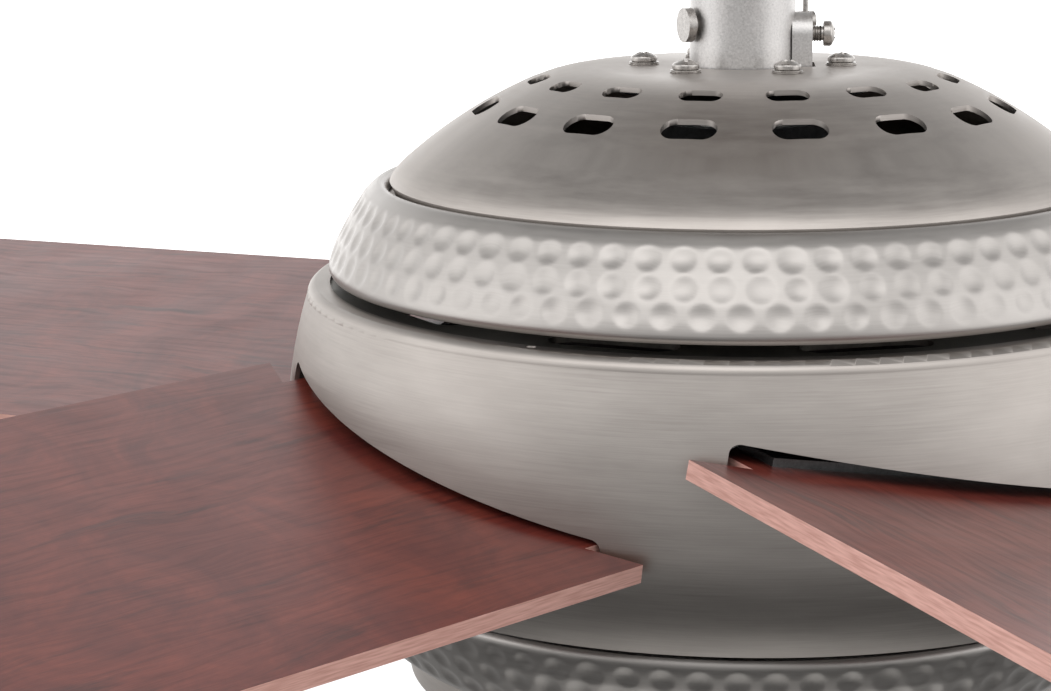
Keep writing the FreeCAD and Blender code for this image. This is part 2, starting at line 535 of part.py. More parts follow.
def downrod():
    """Steel tube with cross holes for the ball pin and the clevis pin."""
    body = new_body("downrod")
    top = f"({BALL} + dims.rod_above_ball)"
    foot = f"({top} - dims.rod_length)"
    turn(body, "rod_tube", tube_steps("dims.rod_radius - dims.rod_wall", "dims.rod_radius", foot, top))
    upper = new_sketch(body, "rod_upper_hole", "YZ_Plane")
    circle(upper, "0", f"{BALL} + dims.ball_pin_rise", "dims.ball_pin_radius + dims.slip")
    cut(body, "rod_upper_cut", upper, "4 * dims.rod_radius", both_ways=True)
    lower = new_sketch(body, "rod_lower_hole", "YZ_Plane",
                       placed("0", "0", "0", pitch="dims.clevis_azimuth"))
    circle(lower, "0", f"{DOME} + dims.clevis_rise", "dims.clevis_radius + dims.slip")
    cut(body, "rod_lower_cut", lower, "4 * dims.rod_radius", both_ways=True)


def coupling_collar():
    """Collar that takes the rod, with its side ear and the flange under the dome."""
    body = new_body("coupling_collar")
    bore = "dims.rod_radius + dims.slip"
    steps = [("dims.shaft_radius + dims.slip", FLANGE_FOOT), ("dims.flange_radius", FLANGE_FOOT),
             ("dims.flange_radius", UNDER_DOME), (COLLAR_R, UNDER_DOME),
             (COLLAR_R, f"{DOME} + dims.collar_rise"), (bore, f"{DOME} + dims.collar_rise"),
             (bore, f"{DOME} + dims.collar_floor"),
             ("dims.shaft_radius + dims.slip", f"{DOME} + dims.collar_floor")]
    turn(body, "collar_turned", steps)
    ear = new_sketch(body, "ear_sketch", "YZ_Plane",
                     placed("0", "0", f"{COLLAR_R} - {OVER}"))
    half = "(dims.collar_ear_width / 2)"
    crown = f"({DOME} + dims.set_screw_rise)"
    outline(ear, [(f"-{half}", UNDER_DOME), (half, UNDER_DOME), (half, crown, HALF),
                  (f"-{half}", crown)])
    pad(body, "ear", ear, "dims.ear_thickness")
    cross = new_sketch(body, "clevis_hole", "YZ_Plane",
                       placed("0", "0", "0", pitch="dims.clevis_azimuth"))
    circle(cross, "0", f"{DOME} + dims.clevis_rise", "dims.clevis_radius + dims.slip")
    cut(body, "clevis_cut", cross, "4 * dims.rod_radius + 4 * dims.collar_wall", both_ways=True)
    tapped = new_sketch(body, "set_screw_hole", "YZ_Plane",
                        placed("0", "0", f"{COLLAR_R} + dims.ear_thickness + {OVER}"))
    circle(tapped, "0", f"{DOME} + dims.set_screw_rise", "dims.set_screw_radius + dims.screw_slack")
    cut(body, "set_screw_cut", tapped, f"dims.collar_wall + dims.ear_thickness + 3 * {OVER}")
    holes(body, "flange_holes", "dims.plate_screw_circle", "dims.plate_screw_radius + dims.screw_slack",
          "dims.plate_screws", UNDER_DOME, f"dims.flange_thickness + {OVER}", SCREW_TURN)


def drilled(name, blank, tool):
    """Blank with the tool's shape taken out."""
    result = doc.addObject("Part::Cut", name)
    result.Base = blank
    result.Tool = tool
    return result


def fused(name, members):
    """Members joined into one solid."""
    result = doc.addObject("Part::MultiFuse", name)
    result.Shapes = members
    return result


def compound(name, members):
    """Group separate solids as one piece."""
    group = doc.addObject("Part::Compound", name)
    group.Links = members
    return keep(group, name)


def collar_fasteners():
    """Clevis pin with its clip, and the set screw in the ear."""
    level = f"{DOME} + dims.clevis_rise"
    reach = f"({COLLAR_R} + {OVER})"
    yaw = "(dims.clevis_azimuth - 180)"
    start = placed(f"{reach} * cos({yaw} + 180)", f"{reach} * sin({yaw} + 180)", level, yaw, "90")
    shank = solid("Cylinder", "clevis_shank", start, Radius="dims.clevis_radius",
                  Height=f"2 * {reach} + dims.clevis_tail")
    outward = f"({reach} + dims.clevis_head_thickness)"
    seat = placed(f"{outward} * cos({yaw} + 180)", f"{outward} * sin({yaw} + 180)", level, yaw, "90")
    head = solid("Cylinder", "clevis_head", seat, Radius="dims.clevis_head_radius",
                 Height="dims.clevis_head_thickness")
    pin = fused("clevis_solid", [shank, head])
    clip_at = f"({reach} + dims.clip_reach)"
    clip_x, clip_y = f"{clip_at} * cos({yaw})", f"{clip_at} * sin({yaw})"
    leg_foot = f"{level} - dims.clip_leg_drop"
    bore = solid("Cylinder", "clip_bore", placed(clip_x, clip_y, f"{leg_foot} - {OVER}"),
                 Radius="dims.clip_bore_radius", Height="dims.clip_leg_length")
    keep(drilled("clevis_pin", pin, bore), "clevis_pin")
    leg = solid("Cylinder", "clip_leg", placed(clip_x, clip_y, leg_foot),
                Radius="dims.clip_wire_radius", Height="dims.clip_leg_length")
    eye = solid("Torus", "clip_eye",
                placed(clip_x, clip_y, f"{level} + dims.clip_eye_rise", yaw, "0", "90"),
                Radius1="dims.clip_eye_radius", Radius2="dims.clip_wire_radius")
    keep(fused("clevis_clip", [leg, eye]), "clevis_clip")
    screw_level = f"{DOME} + dims.set_screw_rise"
    tip = "(dims.rod_radius + dims.set_screw_tip_gap)"
    face = f"({COLLAR_R} + dims.ear_thickness - {OVER} + dims.set_screw_stand_off)"
    crown = f"({face} + dims.set_screw_head_height)"
    head_radius = "dims.set_screw_head_radius"
    parts = [
        solid("Cylinder", "set_screw_shank", placed(tip, "0", screw_level, pitch="90"),
              Radius="dims.set_screw_radius", Height=f"{face} - {tip}"),
        solid("Cylinder", "set_screw_head", placed(face, "0", screw_level, pitch="90"),
              Radius=head_radius, Height="dims.set_screw_head_height"),
        solid("Cone", "set_screw_crown", placed(crown, "0", screw_level, pitch="90"),
              Radius1=head_radius, Radius2=f"{head_radius} * dims.set_screw_crown_share",
              Height="dims.set_screw_crown_height")]
    keep(fused("collar_set_screw", parts), "collar_set_screw")


# ---------------------------------------------------------------- dome and hammered bands

def plate_fasteners():
    """Pan-head screws and washers that hold the dome to the collar's flange."""
    screws = new_body("dome_screws")
    foot = f"({DOME} + dims.plate_washer_thickness)"
    shank = f"(dims.plate_washer_thickness + dims.sheet + dims.flange_thickness - {OVER})"
    first = headed_screw(screws, "dome_screw", "dims.plate_screw_circle", foot,
                         "dims.plate_screw_head_radius", "dims.plate_screw_head_height",
                         "dims.plate_screw_radius", shank)
    around(screws, "dome_screw_ring", [first], "dims.plate_screws")
    washers = new_body("dome_washers")
    sketch = new_sketch(washers, "washer_sketch", "XY_Plane", at_height(DOME))
    circle(sketch, "dims.plate_screw_circle", "0", "dims.plate_washer_radius")
    circle(sketch, "dims.plate_screw_circle", "0", "dims.plate_screw_radius + dims.screw_slack")
    ring = pad(washers, "washer", sketch, "dims.plate_washer_thickness")
    around(washers, "washer_ring", [ring], "dims.plate_screws")
    for body in (screws, washers):
        turn_body(body, SCREW_TURN)


def dome_line(inset):
    """Outer line of the dome, or its inner line when inset is the sheet's thickness."""
    bend, edge = "dims.dome_bend_angle", "dims.dome_edge_angle"
    upright = f"({DOME} - {BEND_DROP} - {SWEEP_DROP} - {EDGE_DROP})"
    knee = (f"dims.dome_flat_radius + dims.dome_bend_run - {inset} * sin({bend})",
            f"{DOME} - {BEND_DROP} - {inset} * cos({bend})")
    shoulder = (f"{DOME_R} - {EDGE_RUN} - {inset} * sin({edge})",
                f"{DOME} - {BEND_DROP} - {SWEEP_DROP} - {inset} * cos({edge})")
    return [("dims.dome_flat_radius", f"{DOME} - {inset}", f"{BEND_R} - {inset}"),
            (*knee, f"{SWEEP_R} - {inset}"),
            (*shoulder, f"dims.dome_edge_radius - {inset}"),
            (f"{DOME_R} - {inset}", upright, None)]


def upper_dome():
    """Pressed dome with two rows of vents and the holes for its screws."""
    body = new_body("upper_dome")
    inside = dome_line("dims.sheet")
    outside = dome_line("0")
    hole = f"({COLLAR_R} + dims.collar_hole_gap)"
    foot, foot_under = f"({DOME_R} + dims.dome_foot)", f"({BAND_SEAT} - dims.sheet)"
    steps = [(hole, DOME), (hole, UNDER_DOME)]
    steps += [(x, z, -1, radius) for x, z, radius in inside[:-1]]
    steps += [inside[-1][:2], (inside[-1][0], foot_under), (foot, foot_under), (foot, BAND_SEAT),
              (DOME_R, BAND_SEAT)]
    steps += [(*outside[at][:2], 1, outside[at - 1][2]) for at in (3, 2, 1)]
    steps.append(outside[0][:2])
    turn(body, "dome_shell", steps)
    notch = new_sketch(body, "ear_notch_sketch", "XY_Plane", at_height(DOME))
    side = "(dims.collar_ear_width / 2 + dims.ear_notch_gap)"
    outline(notch, box_steps("0", f"{COLLAR_R} + dims.ear_thickness", f"-{side}", side))
    cut(body, "ear_notch", notch, "dims.sheet")
    lower = f"({DOME_R} - dims.vent_edge)"
    upper = f"({lower} - dims.vent_row_pitch)"
    for name, reach, length, width in (
            ("upper_vents", upper, "dims.upper_vent_length", "dims.upper_vent_width"),
            ("lower_vents", lower, "dims.lower_vent_length", "dims.lower_vent_width")):
        sketch = new_sketch(body, f"{name}_sketch", "XY_Plane",
                            placed("0", "0", DOME, "dims.vent_phase"))
        stadium(sketch, reach, "0", f"{length} / 2", f"{width} / 2")
        first = cut(body, f"{name}_first", sketch, f"{DOME} - ({CREST})")
        around(body, name, [first], "dims.vents")
    holes(body, "dome_screw_holes", "dims.plate_screw_circle",
          "dims.plate_screw_radius + dims.screw_slack", "dims.plate_screws", DOME, f"dims.sheet + {OVER}",
          SCREW_TURN)


def hammered_band(name, lip, away):
    """Flared ring with a rounded crest; away is +1 above its lip and -1 below."""
    inner = f"({DOME_R} + dims.band_gap)"
    crest_r = f"({inner} + dims.band_crest)"
    crest = f"({lip} + {away} * dims.band_height)"
    seat = f"({crest} - {away} * dims.band_seat_drop)"
    lip_rise = f"({lip} + {away} * dims.band_lip_rise)"
    wall = "dims.band_wall"
    turned(name, [
        (inner, seat, -away, "dims.band_crest_radius"), (crest_r, crest, -away, "dims.band_side_radius"),
        (LIP_R, lip_rise, -away, "dims.band_lip_radius"), (f"{LIP_R} - dims.band_lip_step", lip),
        (f"{LIP_R} - {wall}", lip),
        (f"{LIP_R} - {wall} - 2 * dims.band_lip_step", lip_rise, away, "dims.band_side_radius"),
        (f"{crest_r} - {wall} / 2", f"{crest} - {away} * {wall}"), (inner, f"{seat} - {away} * {wall}")])


# ---------------------------------------------------------------- motor

def motor_fixed_parts():
    """Hollow shaft with the stator and the bearings' inner rings."""
    top = f"({DOME} + dims.collar_floor - dims.shaft_inset)"
    turned("motor_shaft", tube_steps("dims.shaft_bore", "dims.shaft_radius", SHAFT_FOOT, top))
    middle = f"({CASE_TOP} - dims.case_height / 2)"
    half = "dims.stator_height / 2"
    bore = "dims.shaft_radius + dims.press_gap"
    core = new_body("stator_core")
    turn(core, "stator_stack", tube_steps(bore, STATOR_R, f"{middle} - {half}", f"{middle} + {half}"))
    coils = new_body("stator_windings")
    for index, low in enumerate((f"{middle} + {half}", f"{middle} - {half} - dims.winding_rise")):
        sketch = new_sketch(coils, f"coil_sketch_{index}", "XY_Plane", at_height(low))
        outer = f"({STATOR_R} - dims.winding_edge)"
        width = f"(({outer} * sin(180 / dims.winding_slots) - dims.coil_gap) * dims.coil_fill)"
        outline(sketch, box_steps(f"{STATOR_R} * dims.winding_inner_share", outer, f"-{width}", width))
        coil = pad(coils, f"coil_{index}", sketch, "dims.winding_rise")
        around(coils, f"coils_{index}", [coil], "dims.winding_slots")
    for place, level in BEARINGS:
        turned(f"{place}_bearing_inner_ring",
               tube_steps(bore, "dims.shaft_radius + dims.race_wall", f"{level} - dims.bearing_width",
                          level))


def bearing_balls(place, level):
    """Balls of one bearing in their cage ring, which runs above them."""
    middle = f"({level} - dims.bearing_width / 2)"
    inner = "(dims.shaft_radius + dims.race_wall)"
    outer = "(dims.bearing_outer_radius - dims.race_wall)"
    pitch = f"(({inner} + {outer}) / 2)"
    radius = f"(({outer} - {inner}) / 2 - dims.bearing_clearance)"
    members = []
    count = int(value("dims.ball_count"))
    for index in range(count):
        angle = f"{index} * 360 / dims.ball_count"
        members.append(solid("Sphere", f"{place}_ball_{index}",
                             placed(f"{pitch} * cos({angle})", f"{pitch} * sin({angle})", middle),
                             Radius=radius))
    floor = f"({middle} - {radius} - dims.cage_wall)"
    disc = solid("Cylinder", f"{place}_cage_disc", placed("0", "0", floor),
                 Radius=f"{outer} - dims.cage_gap", Height="dims.cage_wall")
    eye = solid("Cylinder", f"{place}_cage_eye", placed("0", "0", f"{floor} - {OVER}"),
                Radius=f"{inner} + dims.cage_gap", Height=f"dims.cage_wall + 2 * {OVER}")
    ring = drilled(f"{place}_cage", disc, eye)
    compound(f"{place}_bearing_balls", [*members, ring])


def motor_case():
    """Upper and lower halves of the turning motor case."""
    hub = "dims.bearing_outer_radius"
    hub_out = f"({hub} + dims.hub_wall)"
    lip = f"({hub} - dims.race_wall * dims.race_lip_share)"
    ease = "dims.case_round"
    upper = new_body("upper_motor_case")
    top_hub = f"({CASE_TOP} + dims.hub_reach)"
    turn(upper, "upper_case_shell", [
        (lip, top_hub), (lip, UPPER_RACE), (hub, UPPER_RACE), (hub, f"{CASE_TOP} - dims.case_wall"),
        (ROTOR_R, f"{CASE_TOP} - dims.case_wall"), (ROTOR_R, CASE_SPLIT), (CASE_RIM_R, CASE_SPLIT),
        (CASE_RIM_R, CASE_RIM_TOP), (CASE_R, CASE_RIM_TOP),
        (CASE_R, f"{CASE_TOP} - {ease}", 1, "dims.case_round_radius"), (f"{CASE_R} - {ease}", CASE_TOP),
        (f"{hub_out} + {ease}", CASE_TOP), (hub_out, f"{CASE_TOP} + {ease}"), (hub_out, top_hub)])
    lower = new_body("lower_motor_case")
    foot_hub = f"({CASE_FOOT} - dims.hub_reach)"
    floor = f"({CASE_FOOT} + dims.case_foot_thickness)"
    turn(lower, "lower_case_shell", [
        (lip, foot_hub), (hub_out, foot_hub), (hub_out, CASE_FOOT),
        (CASE_FLANGE_R, CASE_FOOT), (CASE_FLANGE_R, floor), (CASE_R, floor),
        (CASE_R, RIM_UNDER), (CASE_RIM_R, RIM_UNDER), (CASE_RIM_R, CASE_SPLIT),
        (ROTOR_R, CASE_SPLIT), (ROTOR_R, floor), (hub, floor),
        (hub, f"{LOWER_RACE} - dims.bearing_width"),
        (lip, f"{LOWER_RACE} - dims.bearing_width")])
    for body, name, top in ((upper, "upper_flange_holes", CASE_RIM_TOP),
                            (lower, "lower_flange_holes", CASE_SPLIT)):
        holes(body, name, CASE_SCREW_CIRCLE, "dims.case_screw_radius + dims.screw_slack",
              "dims.case_screws", top, f"dims.case_flange_thickness + {OVER}")
    for index, reach in enumerate(ARM_SCREWS):
        sketch = new_sketch(lower, f"arm_hole_sketch_{index}", "XY_Plane",
                            placed("0", "0", floor, "dims.blade_phase"))
        circle(sketch, reach, "0", "dims.blade_screw_radius + dims.screw_slack")
        first = cut(lower, f"arm_hole_{index}", sketch, f"dims.case_foot_thickness + {OVER}")
        around(lower, f"arm_holes_{index}", [first], "dims.blades")


def motor_turning_parts():
    """Bearing outer rings, rotor ring and the screws of the case."""
    for place, level in BEARINGS:
        foot = f"{level} - dims.bearing_width + dims.press_gap"
        turned(f"{place}_bearing_outer_ring",
               tube_steps("dims.bearing_outer_radius - dims.race_wall",
                          "dims.bearing_outer_radius - dims.press_gap", foot,
                          f"{level} - dims.press_gap"))
        bearing_balls(place, level)
    middle = f"({CASE_TOP} - dims.case_height / 2)"
    half = "dims.stator_height / 2 + dims.rotor_overlap"
    turned("rotor_ring", tube_steps(f"{STATOR_R} + dims.air_gap", f"{ROTOR_R} - dims.press_gap",
                                    f"{middle} - {half}", f"{middle} + {half}"))
    screws = new_body("motor_case_screws")
    grip = "2 * dims.case_flange_thickness + dims.spider_thickness + dims.case_screw_tail"
    first = headed_screw(screws, "case_screw", CASE_SCREW_CIRCLE, CASE_RIM_TOP,
                         "dims.case_screw_head_radius", "dims.case_screw_head_height",
                         "dims.case_screw_radius", grip)
    around(screws, "case_screw_ring", [first], "dims.case_screws")


# ---------------------------------------------------------------- spinning housing and blades

def housing_spider():
    """Vented plate between the motor case and the housing's rim."""
    body = new_body("housing_spider")
    outer = f"({LIP_R} + dims.rim_width)"
    foot = f"({RIM_UNDER} - dims.spider_thickness)"
    turn(body, "spider_plate", tube_steps(f"{CASE_R} + dims.spider_gap", outer, foot, RIM_UNDER))
    vents = new_sketch(body, "spider_vents_sketch", "XY_Plane", at_height(RIM_UNDER))
    stadium(vents, f"({CASE_RIM_R} + {LIP_R}) / 2 + dims.spider_vent_shift", "0",
            "dims.spider_vent_length / 2", "dims.spider_vent_width / 2")
    first = cut(body, "spider_vent", vents, f"dims.spider_thickness + {OVER}")
    around(body, "spider_vents", [first], "dims.spider_vents")
    holes(body, "spider_case_holes", CASE_SCREW_CIRCLE, "dims.case_screw_radius + dims.screw_slack",
          "dims.case_screws", RIM_UNDER, f"dims.spider_thickness + {OVER}")
    holes(body, "spider_rim_holes", RIM_SCREW_CIRCLE, "dims.rim_screw_radius + dims.screw_slack",
          "dims.rim_screws", RIM_UNDER, f"dims.spider_thickness + {OVER}", RIM_SCREW_TURN)


def middle_housing():
    """Turning shell with one sloping slot for each blade."""
    body = new_body("middle_housing")
    wall = "dims.sheet"
    shoulder = f"({RIM} - dims.shoulder_drop)"
    widest = f"({RIM} - dims.widest_drop)"
    shoulder_r = ("(dims.housing_radius - dims.upper_side_radius + sqrt(dims.upper_side_radius^2 - "
                  "(dims.widest_drop - dims.shoulder_drop)^2))")
    foot_r = "(dims.housing_radius - dims.floor_inset)"
    floor_r = f"({foot_r} - dims.floor_width)"
    turn(body, "housing_shell", [
        (LIP_R, RIM), (LIP_R, RIM_UNDER), (f"{shoulder_r} - 2 * {wall}", RIM_UNDER),
        (f"{shoulder_r} - {wall}", f"{shoulder} - {wall} / 2", -1, f"dims.upper_side_radius - {wall}"),
        (f"dims.housing_radius - {wall}", widest, -1, f"dims.lower_side_radius - {wall}"),
        (f"{foot_r} - {wall}", f"{HOUSING_FOOT} + {wall}"), (floor_r, f"{HOUSING_FOOT} + {wall}"),
        (floor_r, HOUSING_FOOT),
        (f"{foot_r} - dims.floor_ease", HOUSING_FOOT, 1, "dims.lower_side_radius"),
        ("dims.housing_radius", widest, 1, "dims.upper_side_radius"),
        (shoulder_r, shoulder, 1, "dims.shoulder_radius"), (f"{shoulder_r} - dims.shoulder_run", RIM)])
    half = "(dims.housing_radius * sin(dims.slot_half_angle))"
    sketch = new_sketch(body, "slot_sketch", "YZ_Plane",
                        placed("0", f"{RIM} - dims.slot_top_drop", f"dims.housing_radius + {OVER}",
                               "-dims.slot_slope"))
    radius = "dims.slot_corner"
    low, high = "-dims.slot_height", "0"
    outline(sketch, [
        (f"-{half} + {radius}", low), (f"{half} - {radius}", low, 1, radius),
        (half, f"{low} + {radius}"), (half, f"{high} - {radius}", 1, radius),
        (f"{half} - {radius}", high), (f"-{half} + {radius}", high, 1, radius),
        (f"-{half}", f"{high} - {radius}"), (f"-{half}", f"{low} + {radius}", 1, radius)])
    first = cut(body, "blade_slot", sketch, "dims.housing_radius * 0.5")
    around(body, "blade_slots", [first], "dims.blades")
    holes(body, "rim_holes", RIM_SCREW_CIRCLE, "dims.rim_screw_radius + dims.screw_slack",
          "dims.rim_screws", RIM, "dims.sheet + dims.screw_slack", "dims.rim_screw_turn")
    turn_body(body, "dims.blade_phase")
    screws = new_body("housing_screws")
    first = headed_screw(screws, "rim_screw", RIM_SCREW_CIRCLE, f"{RIM_UNDER} - dims.spider_thickness",
                         "dims.rim_screw_head_radius", "dims.rim_screw_head_height",
                         "dims.rim_screw_radius",
                         "dims.spider_thickness + dims.sheet * dims.rim_screw_grip", head_down=True)
    around(screws, "rim_screw_ring", [first], "dims.rim_screws")
    turn_body(screws, RIM_SCREW_TURN)


def blade_azimuth(index):
    """Direction of a blade about the axis."""
    return f"(dims.blade_phase + {index} * 360 / dims.blades)"


def blade_place(index):
    """Placement of a blade's top face at the notch."""
    azimuth = blade_azimuth(index)
    return placed(f"{NOTCH_U} * cos({azimuth})", f"{NOTCH_U} * sin({azimuth})", BLADE_TOP,
                  azimuth, *BLADE_SPIN)


def blade(index):
    """Flat blade: necked root inside the housing, square shoulders, rounded tip corners."""
    body = new_body(f"blade_{index + 1}")
    sketch = new_sketch(body, f"blade_sketch_{index}", "XY_Plane", at_height("-dims.blade_thickness"))
    half = "(dims.blade_width / 2)"
    tip = f"(dims.blade_sweep_radius - {NOTCH_U})"
    root = f"({ROOT_U} - {NOTCH_U})"
    corner = f"({CORNER_U} - {NOTCH_U})"
    edge = "dims.blade_tip_corner"
    cut_back = "dims.root_chamfer"
    outline(sketch, [
        (root, f"-{NECK_HALF} + {cut_back}"), (f"{root} + {cut_back}", f"-{NECK_HALF}"),
        ("0", f"-{NECK_HALF}"), (corner, f"-{half}"), (f"{tip} - {edge}", f"-{half}", 1, edge),
        (tip, f"-{half} + {edge}"), (tip, f"{half} - {edge}", 1, edge), (f"{tip} - {edge}", half),
        (corner, half), ("0", NECK_HALF), (f"{root} + {cut_back}", NECK_HALF),
        (root, f"{NECK_HALF} - {cut_back}")])
    pad(body, f"blade_pad_{index}", sketch, "dims.blade_thickness")
    bores = new_sketch(body, f"blade_bores_{index}", "XY_Plane", at_height("0"))
    for side in (-1, 0, 1):
        circle(bores, f"{BLADE_SCREW_U} - {NOTCH_U}", f"{side} * dims.blade_screw_spread",
               "dims.blade_screw_radius + dims.screw_slack")
    cut(body, f"blade_bore_cut_{index}", bores, f"dims.blade_thickness + {OVER}")
    body.setExpression("Placement", blade_place(index))


def blade_arm(index):
    """Iron between the case and a blade: foot, twisted neck and the plate on the blade."""
    body = new_body(f"blade_arm_{index + 1}")
    foot_end = f"({CASE_FLANGE_R} - dims.arm_edge_gap)"
    foot_u = f"({foot_end} - dims.arm_foot_length)"
    half = "(dims.arm_foot_width / 2)"
    sketch = new_sketch(body, f"foot_sketch_{index}", "XY_Plane",
                        at_height(f"{CASE_FOOT} - dims.arm_foot_sheet"))
    outline(sketch, box_steps(foot_u, foot_end, f"-{half}", half))
    pad(body, f"foot_{index}", sketch, "dims.arm_foot_sheet")
    start = new_sketch(body, f"neck_start_{index}", "YZ_Plane", at_height(foot_end))
    outline(start, box_steps(f"-{half}", half, f"{CASE_FOOT} - dims.arm_foot_sheet", CASE_FOOT))
    plate_u = f"({ROOT_U} + dims.arm_edge_gap)"
    level = f"({BLADE_TOP} + ({NOTCH_U} - {plate_u}) * tan(dims.blade_droop))"
    end = new_sketch(body, f"neck_end_{index}", "YZ_Plane",
                     placed("0", level, plate_u, "-dims.blade_pitch"))
    wide = f"({ARM_HALF} * dims.arm_neck_share)"
    outline(end, box_steps(f"-{wide}", wide, "0", "dims.arm_sheet"))
    neck = body.newObject("PartDesign::AdditiveLoft", f"neck_{index}")
    neck.Profile = start
    neck.Sections = [end]
    neck.Ruled = True
    body.Tip = neck
    turn_body(body, blade_azimuth(index))
    tilt = placed(NOTCH_U, "0", BLADE_TOP, "0", *BLADE_SPIN)
    plate = new_sketch(body, f"plate_sketch_{index}", "XY_Plane", tilt)
    low, high = f"({plate_u} - {NOTCH_U} - {OVER})", f"({ARM_OUT_U} - {NOTCH_U})"
    flare = f"{low} + dims.arm_shoulder"
    outline(plate, [(low, f"-{wide}"), (flare, f"-{ARM_HALF}"), (high, f"-{ARM_HALF}"),
                    (high, ARM_HALF), (flare, ARM_HALF), (low, wide)])
    pad(body, f"plate_{index}", plate, "dims.arm_sheet")
    above = at_height(f"dims.arm_sheet + {OVER}")
    bores = new_sketch(body, f"arm_bores_{index}", "XY_Plane", f"{tilt} * {above}")
    for side in (-1, 0, 1):
        circle(bores, f"{BLADE_SCREW_U} - {NOTCH_U}", f"{side} * dims.blade_screw_spread",
               "dims.blade_screw_radius + dims.screw_slack")
    cut(body, f"arm_bore_cut_{index}", bores, f"dims.arm_sheet + 2 * {OVER}")
    foot_bores = new_sketch(body, f"foot_bores_{index}", "XY_Plane", at_height(CASE_FOOT))
    for reach in ARM_SCREWS:
        circle(foot_bores, reach, "0", "dims.blade_screw_radius + dims.screw_slack")
    cut(body, f"foot_bore_cut_{index}", foot_bores, "dims.arm_foot_sheet + dims.screw_slack")


def tilted_stack(name, index, side, low, high, radius):
    """Cylinder along a blade's normal between two levels below its top face."""
    local = placed(f"{BLADE_SCREW_U} - {NOTCH_U}", f"{side} * dims.blade_screw_spread", low)
    return solid("Cylinder", name, f"{blade_place(index)} * {local}", Radius=radius,
                 Height=f"{high} - ({low})")


def blade_fasteners():
    """Screws and washers under each blade root, and the screws of the arms' feet."""
    screws, washers = [], []
    washer_foot = "(-dims.blade_thickness - dims.blade_washer_thickness)"
    head_face = f"({washer_foot} - dims.blade_screw_head_height)"
    for index in range(int(value("dims.blades"))):
        for side in (-1, 0, 1):
            tag = f"{index}_{side + 1}"
            head = tilted_stack(f"blade_screw_head_{tag}", index, side, head_face,
                                washer_foot, "dims.blade_screw_head_radius")
            shank = tilted_stack(f"blade_screw_shank_{tag}", index, side, washer_foot,
                                 "dims.arm_sheet + dims.blade_screw_tail", "dims.blade_screw_radius")
            screws.append(fused(f"blade_screw_{tag}", [head, shank]))
            disc = tilted_stack(f"blade_washer_disc_{tag}", index, side, washer_foot,
                                "-dims.blade_thickness", "dims.blade_washer_radius")
            bore = tilted_stack(f"blade_washer_bore_{tag}", index, side, f"{washer_foot} - {OVER}", "0",
                                "dims.blade_screw_radius + dims.screw_slack")
            washers.append(drilled(f"blade_washer_{tag}", disc, bore))
    compound("blade_screws", screws)
    compound("blade_washers", washers)
    arm_screws = new_body("arm_screws")
    feet = f"({CASE_FOOT} - dims.arm_foot_sheet)"
    for number, reach in enumerate(ARM_SCREWS):
        grip = "dims.arm_foot_sheet + dims.case_foot_thickness - dims.arm_screw_short"
        first = headed_screw(arm_screws, f"arm_screw_{number}", reach, feet,
                             "dims.arm_screw_head_radius", "dims.arm_screw_head_height",
                             "dims.blade_screw_radius", grip, head_down=True)
        around(arm_screws, f"arm_screw_ring_{number}", [first], "dims.blades")
    turn_body(arm_screws, "dims.blade_phase")


# ---------------------------------------------------------------- light kit

def light_frame():
    """Plate on the shaft's lower end, the pan under it and the nut that clamps both."""
    bore = "dims.shaft_radius + dims.slip"
    turned("light_mount_plate", tube_steps(bore, PLATE_R, PLATE_FOOT, PLATE_TOP))
    body = new_body("light_pan")
    wall, ease = "dims.pan_wall", "dims.pan_round"
    turn(body, "pan_shell", [
        (bore, PLATE_FOOT), (bore, NUT_TOP), (f"{PAN_R} - {ease}", NUT_TOP, -1, f"{ease} - {wall}"),
        (f"{PAN_R} - {wall}", f"{PLATE_FOOT} - {ease}"), (f"{PAN_R} - {wall}", PAN_FOOT),
        (PAN_R, PAN_FOOT), (PAN_R, f"{PLATE_FOOT} - {ease}", 1, ease), (f"{PAN_R} - {ease}", PLATE_FOOT)])
    window = new_sketch(body, "switch_window_sketch", "XZ_Plane")
    level = f"({PLATE_FOOT} - dims.switch_drop)"
    half = "((dims.slider_travel + dims.slider_length) / 2 + dims.slider_gap)"
    tall = "(dims.slider_height / 2 + dims.slider_gap)"
    outline(window, box_steps(f"-{half}", half, f"{level} - {tall}", f"{level} + {tall}"))
    cut(body, "switch_window", window, f"{PAN_R} + {OVER}")
    nut_foot = f"{NUT_TOP} - dims.nut_height"
    nut = solid("Prism", "nut_blank", placed("0", "0", nut_foot),
                Circumradius="dims.nut_radius", Height="dims.nut_height", Polygon=NUT_SIDES)
    bore_cut = solid("Cylinder", "nut_bore", placed("0", "0", f"{nut_foot} - {OVER}"),
                     Radius=bore, Height=f"dims.nut_height + 2 * {OVER}")
    keep(drilled("pan_nut", nut, bore_cut), "pan_nut")


